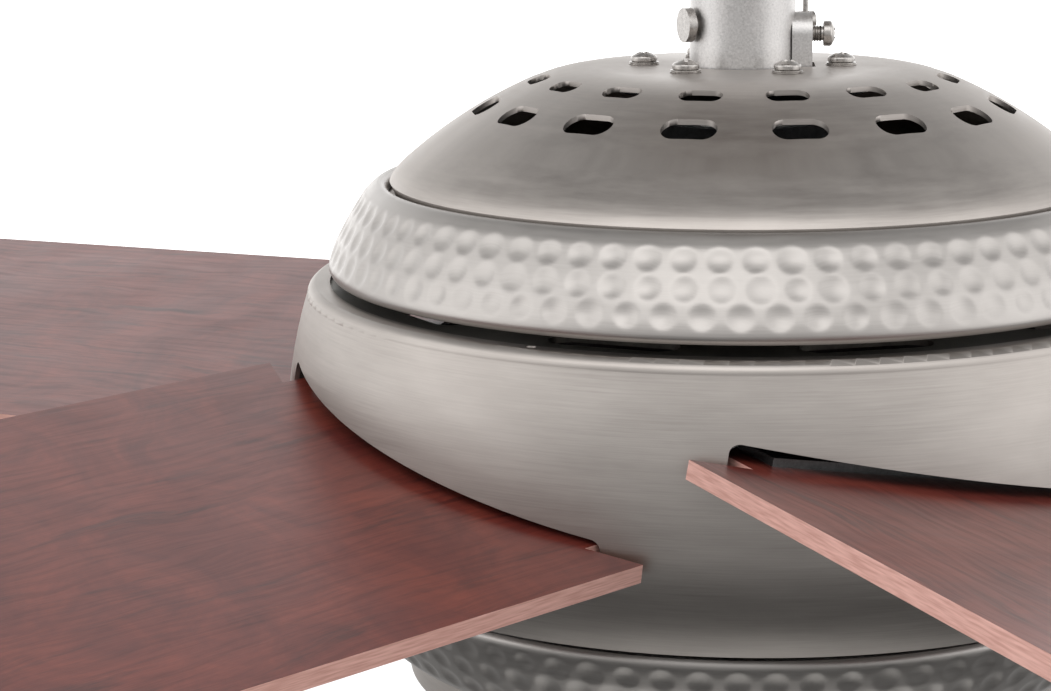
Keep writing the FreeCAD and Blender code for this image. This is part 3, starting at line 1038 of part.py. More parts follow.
def electrics():
    """Run capacitor on the plate and the slide switch behind the pan's window."""
    capacitor = solid("Box", "run_capacitor",
                      placed("dims.capacitor_reach", "-dims.capacitor_length / 2", PLATE_TOP),
                      Length="dims.capacitor_width", Width="dims.capacitor_length",
                      Height="dims.capacitor_height")
    keep(capacitor, "run_capacitor")
    level = f"({PLATE_FOOT} - dims.switch_drop)"
    inside = f"sqrt(({PAN_R} - dims.pan_wall)^2 - (dims.switch_length / 2)^2)"
    back = f"({inside} - dims.switch_depth)"
    block = solid("Box", "switch_block",
                  placed("-dims.switch_length / 2", back, f"{level} - dims.switch_height / 2"),
                  Length="dims.switch_length", Width="dims.switch_depth", Height="dims.switch_height")
    half = "((dims.slider_travel + dims.slider_length) / 2 + dims.slider_gap)"
    tall = "(dims.slider_height / 2 + dims.slider_gap)"
    well = solid("Box", "switch_well",
                 placed(f"-{half}", f"{inside} - dims.slider_reach", f"{level} - {tall}"),
                 Length=f"2 * {half}", Width=f"dims.slider_reach + {OVER}", Height=f"2 * {tall}")
    keep(drilled("reverse_switch_case", block, well), "reverse_switch_case")
    slider = solid("Box", "reverse_switch_slider",
                   placed("-dims.slider_travel / 2 - dims.slider_length / 2",
                          f"{inside} - dims.slider_reach + dims.slider_gap",
                          f"{level} - dims.slider_height / 2"),
                   Length="dims.slider_length", Height="dims.slider_height",
                   Width=f"{PAN_R} - {inside} + dims.slider_reach + dims.slider_stand_off")
    keep(slider, "reverse_switch_slider")


def lamps():
    """Three lamp sockets under the pan with their bulbs."""
    sockets = new_body("lamp_sockets")
    top = NUT_TOP
    foot = f"({top} - dims.socket_depth)"
    x = f"({BOWL_R} * dims.lamp_circle_share)"
    bore = "(dims.socket_radius - dims.socket_wall)"
    first = turn(sockets, "lamp_socket", [
        (x, top), (x, f"{top} - dims.socket_wall"), (f"{x} + {bore}", f"{top} - dims.socket_wall"),
        (f"{x} + {bore}", foot), (f"{x} + dims.socket_radius", foot),
        (f"{x} + dims.socket_radius", top)], axis_x=x)
    around(sockets, "lamp_socket_ring", [first], "dims.lamps")
    caps = new_body("bulb_bases")
    cap_top = f"({top} - dims.socket_wall - dims.lamp_gap)"
    cap_foot = f"({cap_top} - dims.lamp_cap_depth)"
    first = turn(caps, "bulb_base", [
        (x, cap_foot), (f"{x} + dims.lamp_cap_radius", cap_foot),
        (f"{x} + dims.lamp_cap_radius", f"{cap_top} - dims.lamp_cap_step"),
        (f"{x} + dims.lamp_cap_nose", cap_top), (x, cap_top)], axis_x=x)
    around(caps, "bulb_base_ring", [first], "dims.lamps")
    globes = new_body("bulb_globes")
    neck = "(dims.lamp_cap_radius - dims.lamp_gap)"
    neck_foot = f"{cap_foot} - dims.lamp_cap_step"
    waist = f"({cap_foot} - dims.globe_length + dims.globe_radius)"
    wall = "dims.globe_wall"
    first = turn(globes, "bulb_globe", [
        (x, f"{waist} - dims.globe_radius", 1, "dims.globe_radius"),
        (f"{x} + dims.globe_radius", waist), (f"{x} + {neck}", neck_foot),
        (f"{x} + {neck}", cap_foot), (f"{x} + {neck} - {wall}", cap_foot),
        (f"{x} + {neck} - {wall}", neck_foot),
        (f"{x} + dims.globe_radius - {wall}", waist, -1, f"dims.globe_radius - {wall}"),
        (x, f"{waist} - dims.globe_radius + {wall}")], axis_x=x)
    around(globes, "bulb_globe_ring", [first], "dims.lamps")


def glass_bowl():
    """Bowl of pressed glass, open at the top and holed at the bottom."""
    wall, depth = "dims.bowl_wall", "dims.bowl_depth"
    round_r = f"(({BOWL_R}^2 + {depth}^2) / (2 * {depth}))"
    side_r, floor_bend = f"{round_r} * dims.bowl_side_bend", f"{round_r} * dims.bowl_floor_bend"
    straight = f"({BOWL_TOP} - dims.bowl_straight)"
    waist = f"({BOWL_TOP} - {depth} * dims.bowl_waist_share - dims.bowl_waist_step)"
    waist_r = f"({BOWL_R} * dims.bowl_waist_inset)"
    floor_r = f"({BOWL_R} * dims.bowl_floor_share)"
    floor = f"({BOWL_FOOT} + dims.bowl_floor_rise)"
    turned("glass_bowl", [
        (f"{BOWL_R} - {wall}", BOWL_TOP), (f"{BOWL_R} - {wall}", straight, -1, round_r),
        (f"{waist_r} - {wall}", waist, -1, side_r), (floor_r, f"{floor} + {wall}", -1, floor_bend),
        ("dims.bowl_hole_radius", f"{BOWL_FOOT} + {wall}"), ("dims.bowl_hole_radius", BOWL_FOOT),
        (f"{floor_r} + {wall} / 2", floor, 1, side_r), (waist_r, waist, 1, round_r), (BOWL_R, straight),
        (BOWL_R, BOWL_TOP)])


def bowl_fittings():
    """Rod that holds the bowl, with its stop nut, gasket and finial."""
    nipple, grip = "dims.nipple_radius", "(dims.shaft_bore - dims.bearing_clearance)"
    ledge = f"({SHAFT_FOOT} - dims.bowl_rod_step)"
    top = f"({SHAFT_FOOT} + dims.bowl_rod_grip)"
    turned("bowl_rod", [("0", ROD_TAIL), (nipple, ROD_TAIL), (nipple, ledge), (grip, ledge), (grip, top),
                        ("0", top)])
    bore = f"{nipple} + dims.slip"
    inside = f"({BOWL_FOOT} + dims.bowl_wall + dims.stop_nut_gap)"
    stop = solid("Prism", "stop_blank", placed("0", "0", inside), Polygon=NUT_SIDES,
                 Circumradius="dims.stop_nut_radius", Height="dims.stop_nut_height")
    stop_bore = solid("Cylinder", "stop_bore", placed("0", "0", f"{inside} - {OVER}"),
                      Radius=bore, Height=f"dims.stop_nut_height + 2 * {OVER}")
    keep(drilled("bowl_stop_nut", stop, stop_bore), "bowl_stop_nut")
    turned("bowl_gasket", tube_steps(bore, "dims.gasket_radius", GASKET_FOOT, BOWL_FOOT))
    tip = f"({GASKET_FOOT} - dims.finial_height)"
    end = f"{ROD_TAIL} - dims.finial_end_gap"
    turned("finial", [
        ("0", tip), ("dims.finial_tip_radius", f"{tip} + dims.finial_tip_rise", 1, "dims.finial_knob_bend"),
        ("dims.finial_knob_radius", f"{tip} + dims.finial_knob_rise", -1, "dims.finial_neck_bend"),
        ("dims.finial_neck_radius", f"{tip} + dims.finial_neck_rise", 1, "dims.finial_flare_bend"),
        ("dims.finial_radius", f"{GASKET_FOOT} - dims.finial_rim"), ("dims.finial_radius", GASKET_FOOT),
        (bore, GASKET_FOOT), (bore, end), ("0", end)])


# ---------------------------------------------------------------- whole fan

def check_document():
    """Stop on a failed object or on a piece whose shape is empty or not valid."""
    failed = [item.Name for item in doc.Objects
              if "Invalid" in item.State or "Error" in item.State]
    broken = [piece.Label for piece in pieces
              if piece.Shape.isNull() or not piece.Shape.isValid() or not piece.Shape.Solids]
    if failed or broken:
        raise ValueError(f"failed objects {failed}, broken pieces {broken}")


def main():
    """Build every piece, check it and write its file."""
    fill_sheet()
    ceiling_bracket()
    canopy()
    canopy_fittings()
    hanger_ball()
    keep(pin_across("ball_pin", f"{BALL} + dims.ball_pin_rise", "dims.ball_pin_radius",
                    "2 * (dims.ball_radius - dims.ball_pin_inset)"), "ball_pin")
    downrod()
    coupling_collar()
    collar_fasteners()
    plate_fasteners()
    upper_dome()
    hammered_band("upper_hammered_band", UPPER_LIP, 1)
    hammered_band("lower_hammered_band", LOWER_LIP, -1)
    motor_fixed_parts()
    motor_case()
    motor_turning_parts()
    housing_spider()
    middle_housing()
    for index in range(int(value("dims.blades"))):
        blade(index)
        blade_arm(index)
    blade_fasteners()
    light_frame()
    electrics()
    lamps()
    glass_bowl()
    bowl_fittings()
    doc.recompute()
    check_document()
    os.makedirs("parts", exist_ok=True)
    for piece in pieces:
        piece.Shape.exportStep(f"parts/{piece.Label}.step")
        print(piece.Label, len(piece.Shape.Solids), round(piece.Shape.Volume, 1))


main()
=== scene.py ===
"""Ceiling fan with a bowl light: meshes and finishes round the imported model, in metres."""
import json
import logging
import math
from dataclasses import dataclass, field
from enum import Enum

import bmesh
import bpy
import numpy as np
from mathutils import Matrix, Vector


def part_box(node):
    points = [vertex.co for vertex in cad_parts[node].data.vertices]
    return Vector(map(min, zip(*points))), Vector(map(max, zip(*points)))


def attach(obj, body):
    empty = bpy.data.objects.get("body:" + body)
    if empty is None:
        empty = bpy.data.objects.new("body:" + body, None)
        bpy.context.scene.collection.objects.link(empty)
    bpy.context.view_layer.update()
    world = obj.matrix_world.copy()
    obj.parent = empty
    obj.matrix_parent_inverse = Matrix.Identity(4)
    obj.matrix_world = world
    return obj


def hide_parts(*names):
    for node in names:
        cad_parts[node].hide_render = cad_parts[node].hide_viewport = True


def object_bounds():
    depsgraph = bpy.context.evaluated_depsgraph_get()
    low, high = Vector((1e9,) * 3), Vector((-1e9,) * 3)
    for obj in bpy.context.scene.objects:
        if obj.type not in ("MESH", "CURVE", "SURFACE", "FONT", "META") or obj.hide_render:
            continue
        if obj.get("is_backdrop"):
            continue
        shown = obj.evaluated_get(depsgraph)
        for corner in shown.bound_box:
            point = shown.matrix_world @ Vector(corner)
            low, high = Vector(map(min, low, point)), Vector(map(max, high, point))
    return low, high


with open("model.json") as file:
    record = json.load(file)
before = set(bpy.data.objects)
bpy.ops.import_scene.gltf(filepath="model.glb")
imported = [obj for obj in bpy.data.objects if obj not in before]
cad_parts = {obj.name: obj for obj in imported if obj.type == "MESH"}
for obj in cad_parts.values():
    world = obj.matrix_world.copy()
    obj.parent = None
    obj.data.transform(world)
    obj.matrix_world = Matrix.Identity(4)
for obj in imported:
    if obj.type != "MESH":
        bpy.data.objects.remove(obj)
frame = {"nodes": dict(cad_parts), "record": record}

LOG = logging.getLogger("ceiling_fan")
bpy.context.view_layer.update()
MM = 0.001


class Body(Enum):
    """Bodies of the fan that a piece can ride on."""

    MOUNT = "ceiling_mount"
    FAN = "hanging_fan"
    ROTOR = "rotor"
    SLIDER = "reverse_slider"
    UPPER_CAGE = "upper_bearing_cage"
    LOWER_CAGE = "lower_bearing_cage"


# ---------------------------------------------------------------- shader groups


def new_group(name: str, inputs: dict[str, float], outputs: dict[str, str]) -> bpy.types.NodeTree:
    """Makes an empty shader node group.

    Args:
        name: Name of the group.
        inputs: Default value of each number input.
        outputs: Socket type of each output.

    Returns:
        The group, with its input node called "in" and output node called "out".
    """
    tree = bpy.data.node_groups.new(name, "ShaderNodeTree")
    for label, default in inputs.items():
        socket = tree.interface.new_socket(label, in_out="INPUT", socket_type="NodeSocketFloat")
        socket.default_value = default
    for label, kind in outputs.items():
        tree.interface.new_socket(label, in_out="OUTPUT", socket_type=kind)
    tree.nodes.new("NodeGroupInput").name = "in"
    tree.nodes.new("NodeGroupOutput").name = "out"
    return tree


@dataclass
class Wiring:
    """Short calls that add and join nodes in one tree."""

    tree: bpy.types.NodeTree

    def add(self, kind: str, **settings: object) -> bpy.types.Node:
        """Adds a node and sets its properties.

        Args:
            kind: Node type without its "ShaderNode" prefix.
            settings: Properties of the node.

        Returns:
            The new node.
        """
        node = self.tree.nodes.new("ShaderNode" + kind)
        for key, setting in settings.items():
            setattr(node, key, setting)
        return node

    def put(self, socket: bpy.types.NodeSocket, source: object) -> None:
        """Links a socket from another one, or sets its plain value.

        Args:
            socket: The input to feed.
            source: A socket or a plain value.
        """
        if isinstance(source, bpy.types.NodeSocket):
            self.tree.links.new(source, socket)
        else:
            socket.default_value = source

    def math(self, operation: str, first: object, second: object = 0.0) -> bpy.types.NodeSocket:
        """Joins two numbers with one operation.

        Args:
            operation: Name of the operation.
            first: First number or socket.
            second: Second number or socket.

        Returns:
            The result's socket.
        """
        node = self.add("Math", operation=operation)
        self.put(node.inputs[0], first)
        self.put(node.inputs[1], second)
        return node.outputs[0]

    def vector(self, x: object, y: object, z: object) -> bpy.types.NodeSocket:
        """Combines three numbers into a vector.

        Args:
            x: First part.
            y: Second part.
            z: Third part.

        Returns:
            The vector's socket.
        """
        node = self.add("CombineXYZ")
        for socket, source in zip(node.inputs, (x, y, z)):
            self.put(socket, source)
        return node.outputs[0]

    def noise(self, place: object, scale: object, detail: float = 3.0, rough: float = 0.5,
              distortion: float = 0.0) -> bpy.types.NodeSocket:
        """Adds a noise texture.

        Args:
            place: Where the noise is read.
            scale: Its scale.
            detail: Number of finer layers.
            rough: Strength of the finer layers.
            distortion: How much it is bent.

        Returns:
            The socket of its grey value.
        """
        node = self.add("TexNoise")
        self.put(node.inputs["Vector"], place)
        self.put(node.inputs["Scale"], scale)
        node.inputs["Detail"].default_value = detail
        node.inputs["Roughness"].default_value = rough
        node.inputs["Distortion"].default_value = distortion
        return node.outputs["Fac"]

    def span(self, source: object, low: float, high: float, to_low: object,
             to_high: object) -> bpy.types.NodeSocket:
        """Maps a number from one range to another and clamps it.

        Args:
            source: The number to map.
            low: Start of its range.
            high: End of its range.
            to_low: What the start becomes.
            to_high: What the end becomes.

        Returns:
            The result's socket.
        """
        node = self.add("MapRange")
        node.inputs["From Min"].default_value = low
        node.inputs["From Max"].default_value = high
        self.put(node.inputs["Value"], source)
        self.put(node.inputs["To Min"], to_low)
        self.put(node.inputs["To Max"], to_high)
        return node.outputs["Result"]

    def mix(self, share: object, first: object, second: object) -> bpy.types.NodeSocket:
        """Mixes two colours.

        Args:
            share: Share of the second colour.
            first: Colour at share 0.
            second: Colour at share 1.

        Returns:
            The mixed colour's socket.
        """
        node = self.add("Mix", data_type="RGBA")
        self.put(node.inputs[0], share)
        self.put(node.inputs[6], first)
        self.put(node.inputs[7], second)
        return node.outputs[2]

    def bump(self, height: object, strength: float, distance: float) -> bpy.types.NodeSocket:
        """Turns a height into a normal.

        Args:
            height: Height over the surface.
            strength: Strength of the relief.
            distance: Height in metres of a full step.

        Returns:
            The normal's socket.
        """
        node = self.add("Bump")
        node.inputs["Strength"].default_value = strength
        node.inputs["Distance"].default_value = distance
        self.put(node.inputs["Height"], height)
        return node.outputs["Normal"]


@dataclass
class ShaderGroups:
    """Groups that several finishes share, each built once."""

    made: dict[str, bpy.types.NodeTree] = field(default_factory=dict)

    def brushing(self) -> bpy.types.NodeTree:
        """Fine streaks that run round the fan's axis, with broader bands among them.

        Returns:
            The group.
        """
        if "brushing" in self.made:
            return self.made["brushing"]
        tree = new_group("ring_brushing", {"Fineness": 2600.0, "Along": 5.0},
                         {"Streaks": "NodeSocketFloat", "Bands": "NodeSocketFloat"})
        wire = Wiring(tree)
        coords = wire.add("TexCoord").outputs["Object"]
        split = wire.add("SeparateXYZ")
        wire.put(split.inputs[0], coords)
        x, y, z = split.outputs
        radius = wire.math("SQRT", wire.math("ADD", wire.math("MULTIPLY", x, x),
                                             wire.math("MULTIPLY", y, y)))
        safe = wire.math("MAXIMUM", radius, 0.001)
        along = tree.nodes["in"].outputs["Along"]
        ring_x = wire.math("MULTIPLY", wire.math("DIVIDE", x, safe), along)
        ring_y = wire.math("MULTIPLY", wire.math("DIVIDE", y, safe), along)
        line = wire.math("ADD", z, wire.math("MULTIPLY", radius, 0.7))
        fine = wire.math("MULTIPLY", line, tree.nodes["in"].outputs["Fineness"])
        wide = wire.math("MULTIPLY", line, 170.0)
        streaks = wire.noise(wire.vector(ring_x, ring_y, fine), 1.0, 4.0, 0.65)
        bands = wire.noise(wire.vector(ring_x, ring_y, wide), 1.0, 3.0, 0.6)
        wire.put(tree.nodes["out"].inputs["Streaks"], streaks)
        wire.put(tree.nodes["out"].inputs["Bands"], bands)
        self.made["brushing"] = tree
        return tree

    def handling(self) -> bpy.types.NodeTree:
        """Soft smudges and pinhead specks that every touched surface has.

        Returns:
            The group.
        """
        if "handling" in self.made:
            return self.made["handling"]
        tree = new_group("handling_marks", {"Size": 28.0},
                         {"Smudge": "NodeSocketFloat", "Speck": "NodeSocketFloat"})
        wire = Wiring(tree)
        coords = wire.add("TexCoord").outputs["Object"]
        smudge = wire.noise(coords, tree.nodes["in"].outputs["Size"], 5.0, 0.6, 0.4)
        dots = wire.noise(coords, 1900.0, 2.0, 0.5)
        wire.put(tree.nodes["out"].inputs["Smudge"], wire.span(smudge, 0.35, 0.7, 0.0, 1.0))
        wire.put(tree.nodes["out"].inputs["Speck"], wire.span(dots, 0.62, 0.75, 0.0, 1.0))
        self.made["handling"] = tree
        return tree

    def grain(self) -> bpy.types.NodeTree:
        """Long wood grain along x with dark streaks and a faint cross figure.

        Returns:
            The group.
        """
        if "grain" in self.made:
            return self.made["grain"]
        tree = new_group("long_grain", {"Seed": 0.0},
                         {"Grain": "NodeSocketFloat", "Streak": "NodeSocketFloat",
                          "Figure": "NodeSocketFloat", "Pore": "NodeSocketFloat"})
        wire = Wiring(tree)
        coords = wire.add("TexCoord").outputs["Object"]
        split = wire.add("SeparateXYZ")
        wire.put(split.inputs[0], coords)
        x, y, z = split.outputs
        seed = tree.nodes["in"].outputs["Seed"]
        warp = wire.noise(wire.vector(wire.math("MULTIPLY", x, 7.0), wire.math("MULTIPLY", y, 16.0), seed),
                          1.0, 3.0, 0.55)
        side = wire.math("ADD", y, wire.math("MULTIPLY", warp, 0.03))
        grain = wire.noise(wire.vector(wire.math("MULTIPLY", x, 24.0), wire.math("MULTIPLY", side, 420.0),
                                       seed), 1.0, 6.0, 0.7)
        streak = wire.noise(wire.vector(wire.math("MULTIPLY", x, 15.0), wire.math("MULTIPLY", side, 150.0),
                                        wire.math("ADD", seed, 7.0)), 1.0, 5.0, 0.72)
        figure = wire.noise(wire.vector(wire.math("MULTIPLY", x, 34.0), wire.math("MULTIPLY", y, 26.0),
                                        wire.math("ADD", seed, 13.0)), 1.0, 5.0, 0.68, 1.2)
        pore = wire.noise(wire.vector(wire.math("MULTIPLY", x, 90.0), wire.math("MULTIPLY", y, 1500.0),
                                      wire.math("MULTIPLY", z, 1500.0)), 1.0, 2.0, 0.5)
        outputs = tree.nodes["out"].inputs
        for label, socket in (("Grain", grain), ("Streak", streak), ("Figure", figure), ("Pore", pore)):
            wire.put(outputs[label], socket)
        self.made["grain"] = tree
        return tree


GROUPS = ShaderGroups()


# ---------------------------------------------------------------- finishes


@dataclass(frozen=True)
class Finish:
    """What every finish shares.

    Attributes:
        name: Material name.
        slot: The record's material slot.
    """

    name: str
    slot: str

    def material(self) -> bpy.types.Material:
        """Builds the material once and finds it again after that.

        Returns:
            The material.
        """
        found = bpy.data.materials.get(self.name)
        if found:
            return found
        material = bpy.data.materials.new(self.name)
        material.use_nodes = True
        wire = Wiring(material.node_tree)
        shader = material.node_tree.nodes["Principled BSDF"]
        self.dress(wire, shader)
        return material

    def dress(self, wire: Wiring, shader: bpy.types.Node) -> None:
        """Adds the nodes that make this finish.

        Args:
            wire: Calls that add nodes to the material.
            shader: The material's main shader.
        """
        raise NotImplementedError

    def group(self, wire: Wiring, tree: bpy.types.NodeTree, **numbers: float) -> bpy.types.Node:
        """Places a shared group with its own values.

        Args:
            wire: Calls that add nodes to the material.
            tree: The group.
            numbers: Values of its inputs.

        Returns:
            The group's node.
        """
        node = wire.add("Group", node_tree=tree)
        for label, number in numbers.items():
            node.inputs[label].default_value = number
        return node


@dataclass(frozen=True)
class BrushedMetal(Finish):
    """Metal brushed round the axis."""

    dark: tuple[float, float, float] = (0.345, 0.315, 0.293)
    light: tuple[float, float, float] = (0.465, 0.43, 0.402)
    roughness: float = 0.40
    anisotropy: float = 0.6
    fineness: float = 2600.0
    relief: float = 0.04

    def dress(self, wire: Wiring, shader: bpy.types.Node) -> None:
        """Streaks vary the colour, the roughness and a slight relief.

        Args:
            wire: Calls that add nodes to the material.
            shader: The material's main shader.
        """
        lines = self.group(wire, GROUPS.brushing(), Fineness=self.fineness)
        marks = self.group(wire, GROUPS.handling())
        share = wire.math("ADD", wire.math("MULTIPLY", lines.outputs["Streaks"], 0.65),
                          wire.math("MULTIPLY", lines.outputs["Bands"], 0.35))
        tone = wire.span(share, 0.3, 0.7, 0.0, 1.0)
        wire.put(shader.inputs["Base Color"], wire.mix(tone, (*self.dark, 1), (*self.light, 1)))
        rough = wire.span(lines.outputs["Streaks"], 0.3, 0.7, self.roughness - 0.04,
                          self.roughness + 0.06)
        rough = wire.math("ADD", rough, wire.math("MULTIPLY", marks.outputs["Smudge"], 0.03))
        wire.put(shader.inputs["Roughness"], rough)
        wire.put(shader.inputs["Normal"], wire.bump(lines.outputs["Streaks"], self.relief, 0.0002))
        shader.inputs["Metallic"].default_value = 1.0
        shader.inputs["Anisotropic"].default_value = self.anisotropy
        tangent = wire.add("Tangent", direction_type="RADIAL", axis="Z")
        wire.put(shader.inputs["Tangent"], tangent.outputs[0])


@dataclass(frozen=True)
class GrainedMetal(Finish):
    """Bare or plated metal with a fine mottled grain, with painted shade below the dome's top if asked."""

    painted_shade_below_dome: bool = False
    dark: tuple[float, float, float] = (0.45, 0.44, 0.43)
    light: tuple[float, float, float] = (0.70, 0.69, 0.67)
    roughness: float = 0.3
    grain_size: float = 900.0
    relief: float = 0.12

    def dress(self, wire: Wiring, shader: bpy.types.Node) -> None:
        """Grain and smudges vary colour, roughness and relief.

        Args:
            wire: Calls that add nodes to the material.
            shader: The material's main shader.
        """
        marks = self.group(wire, GROUPS.handling(), Size=60.0)
        coords = wire.add("TexCoord").outputs["Object"]
        grain = wire.noise(coords, self.grain_size, 4.0, 0.65)
        tone = wire.span(grain, 0.3, 0.7, 0.0, 1.0)
        colour = wire.mix(tone, (*self.dark, 1), (*self.light, 1))
        colour = wire.mix(wire.math("MULTIPLY", marks.outputs["Speck"], 0.4), colour,
                          (*[channel * 0.35 for channel in self.dark], 1))
        # Painted shade: below the dome's top the colour is darkened to near black, standing in for the shade
        # that the dome casts on the collar.
        if self.painted_shade_below_dome:
            split = wire.add("SeparateXYZ")
            wire.put(split.inputs[0], coords)
            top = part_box("upper_dome")[1].z
            painted_shade_share = wire.span(split.outputs["Z"], top - 3.0 * MM, top - 1.5 * MM, 1.0, 0.0)
            colour = wire.mix(painted_shade_share, colour, (0.02, 0.02, 0.02, 1))
        wire.put(shader.inputs["Base Color"], colour)
        rough = wire.span(grain, 0.3, 0.7, self.roughness - 0.06, self.roughness + 0.08)
        rough = wire.math("ADD", rough, wire.math("MULTIPLY", marks.outputs["Smudge"], 0.06))
        wire.put(shader.inputs["Roughness"], rough)
        wire.put(shader.inputs["Normal"], wire.bump(grain, self.relief, 0.0002))
        shader.inputs["Metallic"].default_value = 1.0


@dataclass(frozen=True)
class Coated(Finish):
    """Paint, plastic, porcelain, rubber or varnish: a coloured body that is not metal."""

    dark: tuple[float, float, float] = (0.02, 0.02, 0.02)
    light: tuple[float, float, float] = (0.05, 0.05, 0.05)
    roughness: float = 0.4
    grain_size: float = 500.0
    relief: float = 0.08
    coat: float = 0.0

    def dress(self, wire: Wiring, shader: bpy.types.Node) -> None:
        """Fine orange peel with smudges over it.

        Args:
            wire: Calls that add nodes to the material.
            shader: The material's main shader.
        """
        marks = self.group(wire, GROUPS.handling(), Size=40.0)
        coords = wire.add("TexCoord").outputs["Object"]
        grain = wire.noise(coords, self.grain_size, 3.0, 0.6)
        tone = wire.span(grain, 0.3, 0.7, 0.0, 1.0)
        wire.put(shader.inputs["Base Color"], wire.mix(tone, (*self.dark, 1), (*self.light, 1)))
        rough = wire.math("ADD", wire.math("MULTIPLY", marks.outputs["Smudge"], 0.08),
                          wire.span(grain, 0.3, 0.7, self.roughness - 0.03, self.roughness + 0.05))
        wire.put(shader.inputs["Roughness"], rough)
        wire.put(shader.inputs["Normal"], wire.bump(grain, self.relief, 0.0002))
        shader.inputs["Coat Weight"].default_value = self.coat
        shader.inputs["Coat Roughness"].default_value = 0.12


@dataclass(frozen=True)
class Laminate(Finish):
    """Red cherry laminate with pale ply along the cut edges."""

    seed: float = 0.0

    def dress(self, wire: Wiring, shader: bpy.types.Node) -> None:
        """Face and edge share one shader, told apart by the local normal.

        Args:
            wire: Calls that add nodes to the material.
            shader: The material's main shader.
        """
        wood = self.group(wire, GROUPS.grain(), Seed=self.seed)
        marks = self.group(wire, GROUPS.handling(), Size=18.0)
        deep, mid, warm = (0.030, 0.007, 0.007, 1), (0.100, 0.017, 0.014, 1), (0.190, 0.038, 0.024, 1)
        tone = wire.span(wood.outputs["Figure"], 0.3, 0.72, 0.0, 1.0)
        face = wire.mix(tone, mid, warm)
        face = wire.mix(wire.span(wood.outputs["Grain"], 0.45, 0.75, 0.0, 0.6), face, deep)
        face = wire.mix(wire.span(wood.outputs["Streak"], 0.55, 0.70, 0.0, 0.75), face, deep)
        normal = wire.add("TexCoord").outputs["Normal"]
        split = wire.add("SeparateXYZ")
        wire.put(split.inputs[0], normal)
        up = wire.math("ABSOLUTE", split.outputs[2])
        ply = wire.mix(wire.span(wood.outputs["Pore"], 0.35, 0.65, 0.0, 1.0), (0.55, 0.29, 0.24, 1),
                       (0.74, 0.43, 0.37, 1))
        on_face = wire.span(up, 0.55, 0.8, 0.0, 1.0)
        wire.put(shader.inputs["Base Color"], wire.mix(on_face, ply, face))
        rough = wire.math("ADD", wire.span(wood.outputs["Grain"], 0.3, 0.7, 0.27, 0.36),
                          wire.math("MULTIPLY", marks.outputs["Smudge"], 0.06))
        wire.put(shader.inputs["Roughness"], rough)
        wire.put(shader.inputs["Normal"], wire.bump(wood.outputs["Pore"], 0.10, 0.0002))


@dataclass(frozen=True)
class Glass(Finish):
    """Frosted white glass, clear enough to show the lamps as soft shapes."""

    tint: tuple[float, float, float] = (0.93, 0.91, 0.86)
    roughness: float = 0.35
    transmission: float = 0.45

    def dress(self, wire: Wiring, shader: bpy.types.Node) -> None:
        """Etched frosting varies the roughness and the relief.

        Args:
            wire: Calls that add nodes to the material.
            shader: The material's main shader.
        """
        marks = self.group(wire, GROUPS.handling(), Size=14.0)
        coords = wire.add("TexCoord").outputs["Object"]
        cloud = wire.noise(coords, 22.0, 4.0, 0.6, 0.8)
        frost = wire.noise(coords, 1400.0, 3.0, 0.6)
        pale = tuple(min(channel * 1.05, 1.0) for channel in self.tint)
        colour = wire.mix(wire.span(cloud, 0.35, 0.65, 0.0, 1.0), (*self.tint, 1), (*pale, 1))
        wire.put(shader.inputs["Base Color"], colour)
        rough = wire.span(frost, 0.3, 0.7, self.roughness - 0.05, self.roughness + 0.08)
        rough = wire.math("ADD", rough, wire.math("MULTIPLY", marks.outputs["Smudge"], 0.05))
        wire.put(shader.inputs["Roughness"], rough)
        wire.put(shader.inputs["Normal"], wire.bump(frost, 0.06, 0.0002))
        shader.inputs["Transmission Weight"].default_value = self.transmission
        shader.inputs["IOR"].default_value = 1.46


NICKEL = BrushedMetal("satin_nickel", "brushed_nickel")
PEENED = BrushedMetal("peened_nickel", "brushed_nickel", dark=(0.37, 0.348, 0.33),
                      light=(0.44, 0.417, 0.398), roughness=0.36, anisotropy=0.2)
# Painted shade: the collar's metal below the dome's top is darkened to near black.
STEEL = GrainedMetal("bare_steel", "raw_steel", painted_shade_below_dome=True,
                     dark=(0.49, 0.475, 0.465), light=(0.68, 0.662, 0.65),
                     roughness=0.40, grain_size=1300.0)
ZINC = GrainedMetal("zinc_plate", "zinc_steel", dark=(0.32, 0.30, 0.285), light=(0.54, 0.515, 0.49),
                    roughness=0.26, grain_size=700.0)
# Painted shade: the plated sheet is darkened to a dark olive brown that stands in for the shade in the gap
# under the band.
SHEET = GrainedMetal("zinc_sheet_painted_shade", "plated_sheet", dark=(0.15, 0.14, 0.125), light=(0.24, 0.225, 0.20),
                     roughness=0.45, grain_size=160.0, relief=0.04)
GROUND = GrainedMetal("ground_steel", "bearing_steel", roughness=0.16, grain_size=1500.0, relief=0.03)
LAMINATION = GrainedMetal("lamination_stack", "lamination_steel", dark=(0.09, 0.09, 0.10),
                          light=(0.20, 0.20, 0.21), roughness=0.5, grain_size=700.0)
COPPER = GrainedMetal("enamelled_copper", "copper_winding", dark=(0.36, 0.12, 0.05),
                      light=(0.62, 0.27, 0.12), roughness=0.28, grain_size=1100.0, relief=0.2)
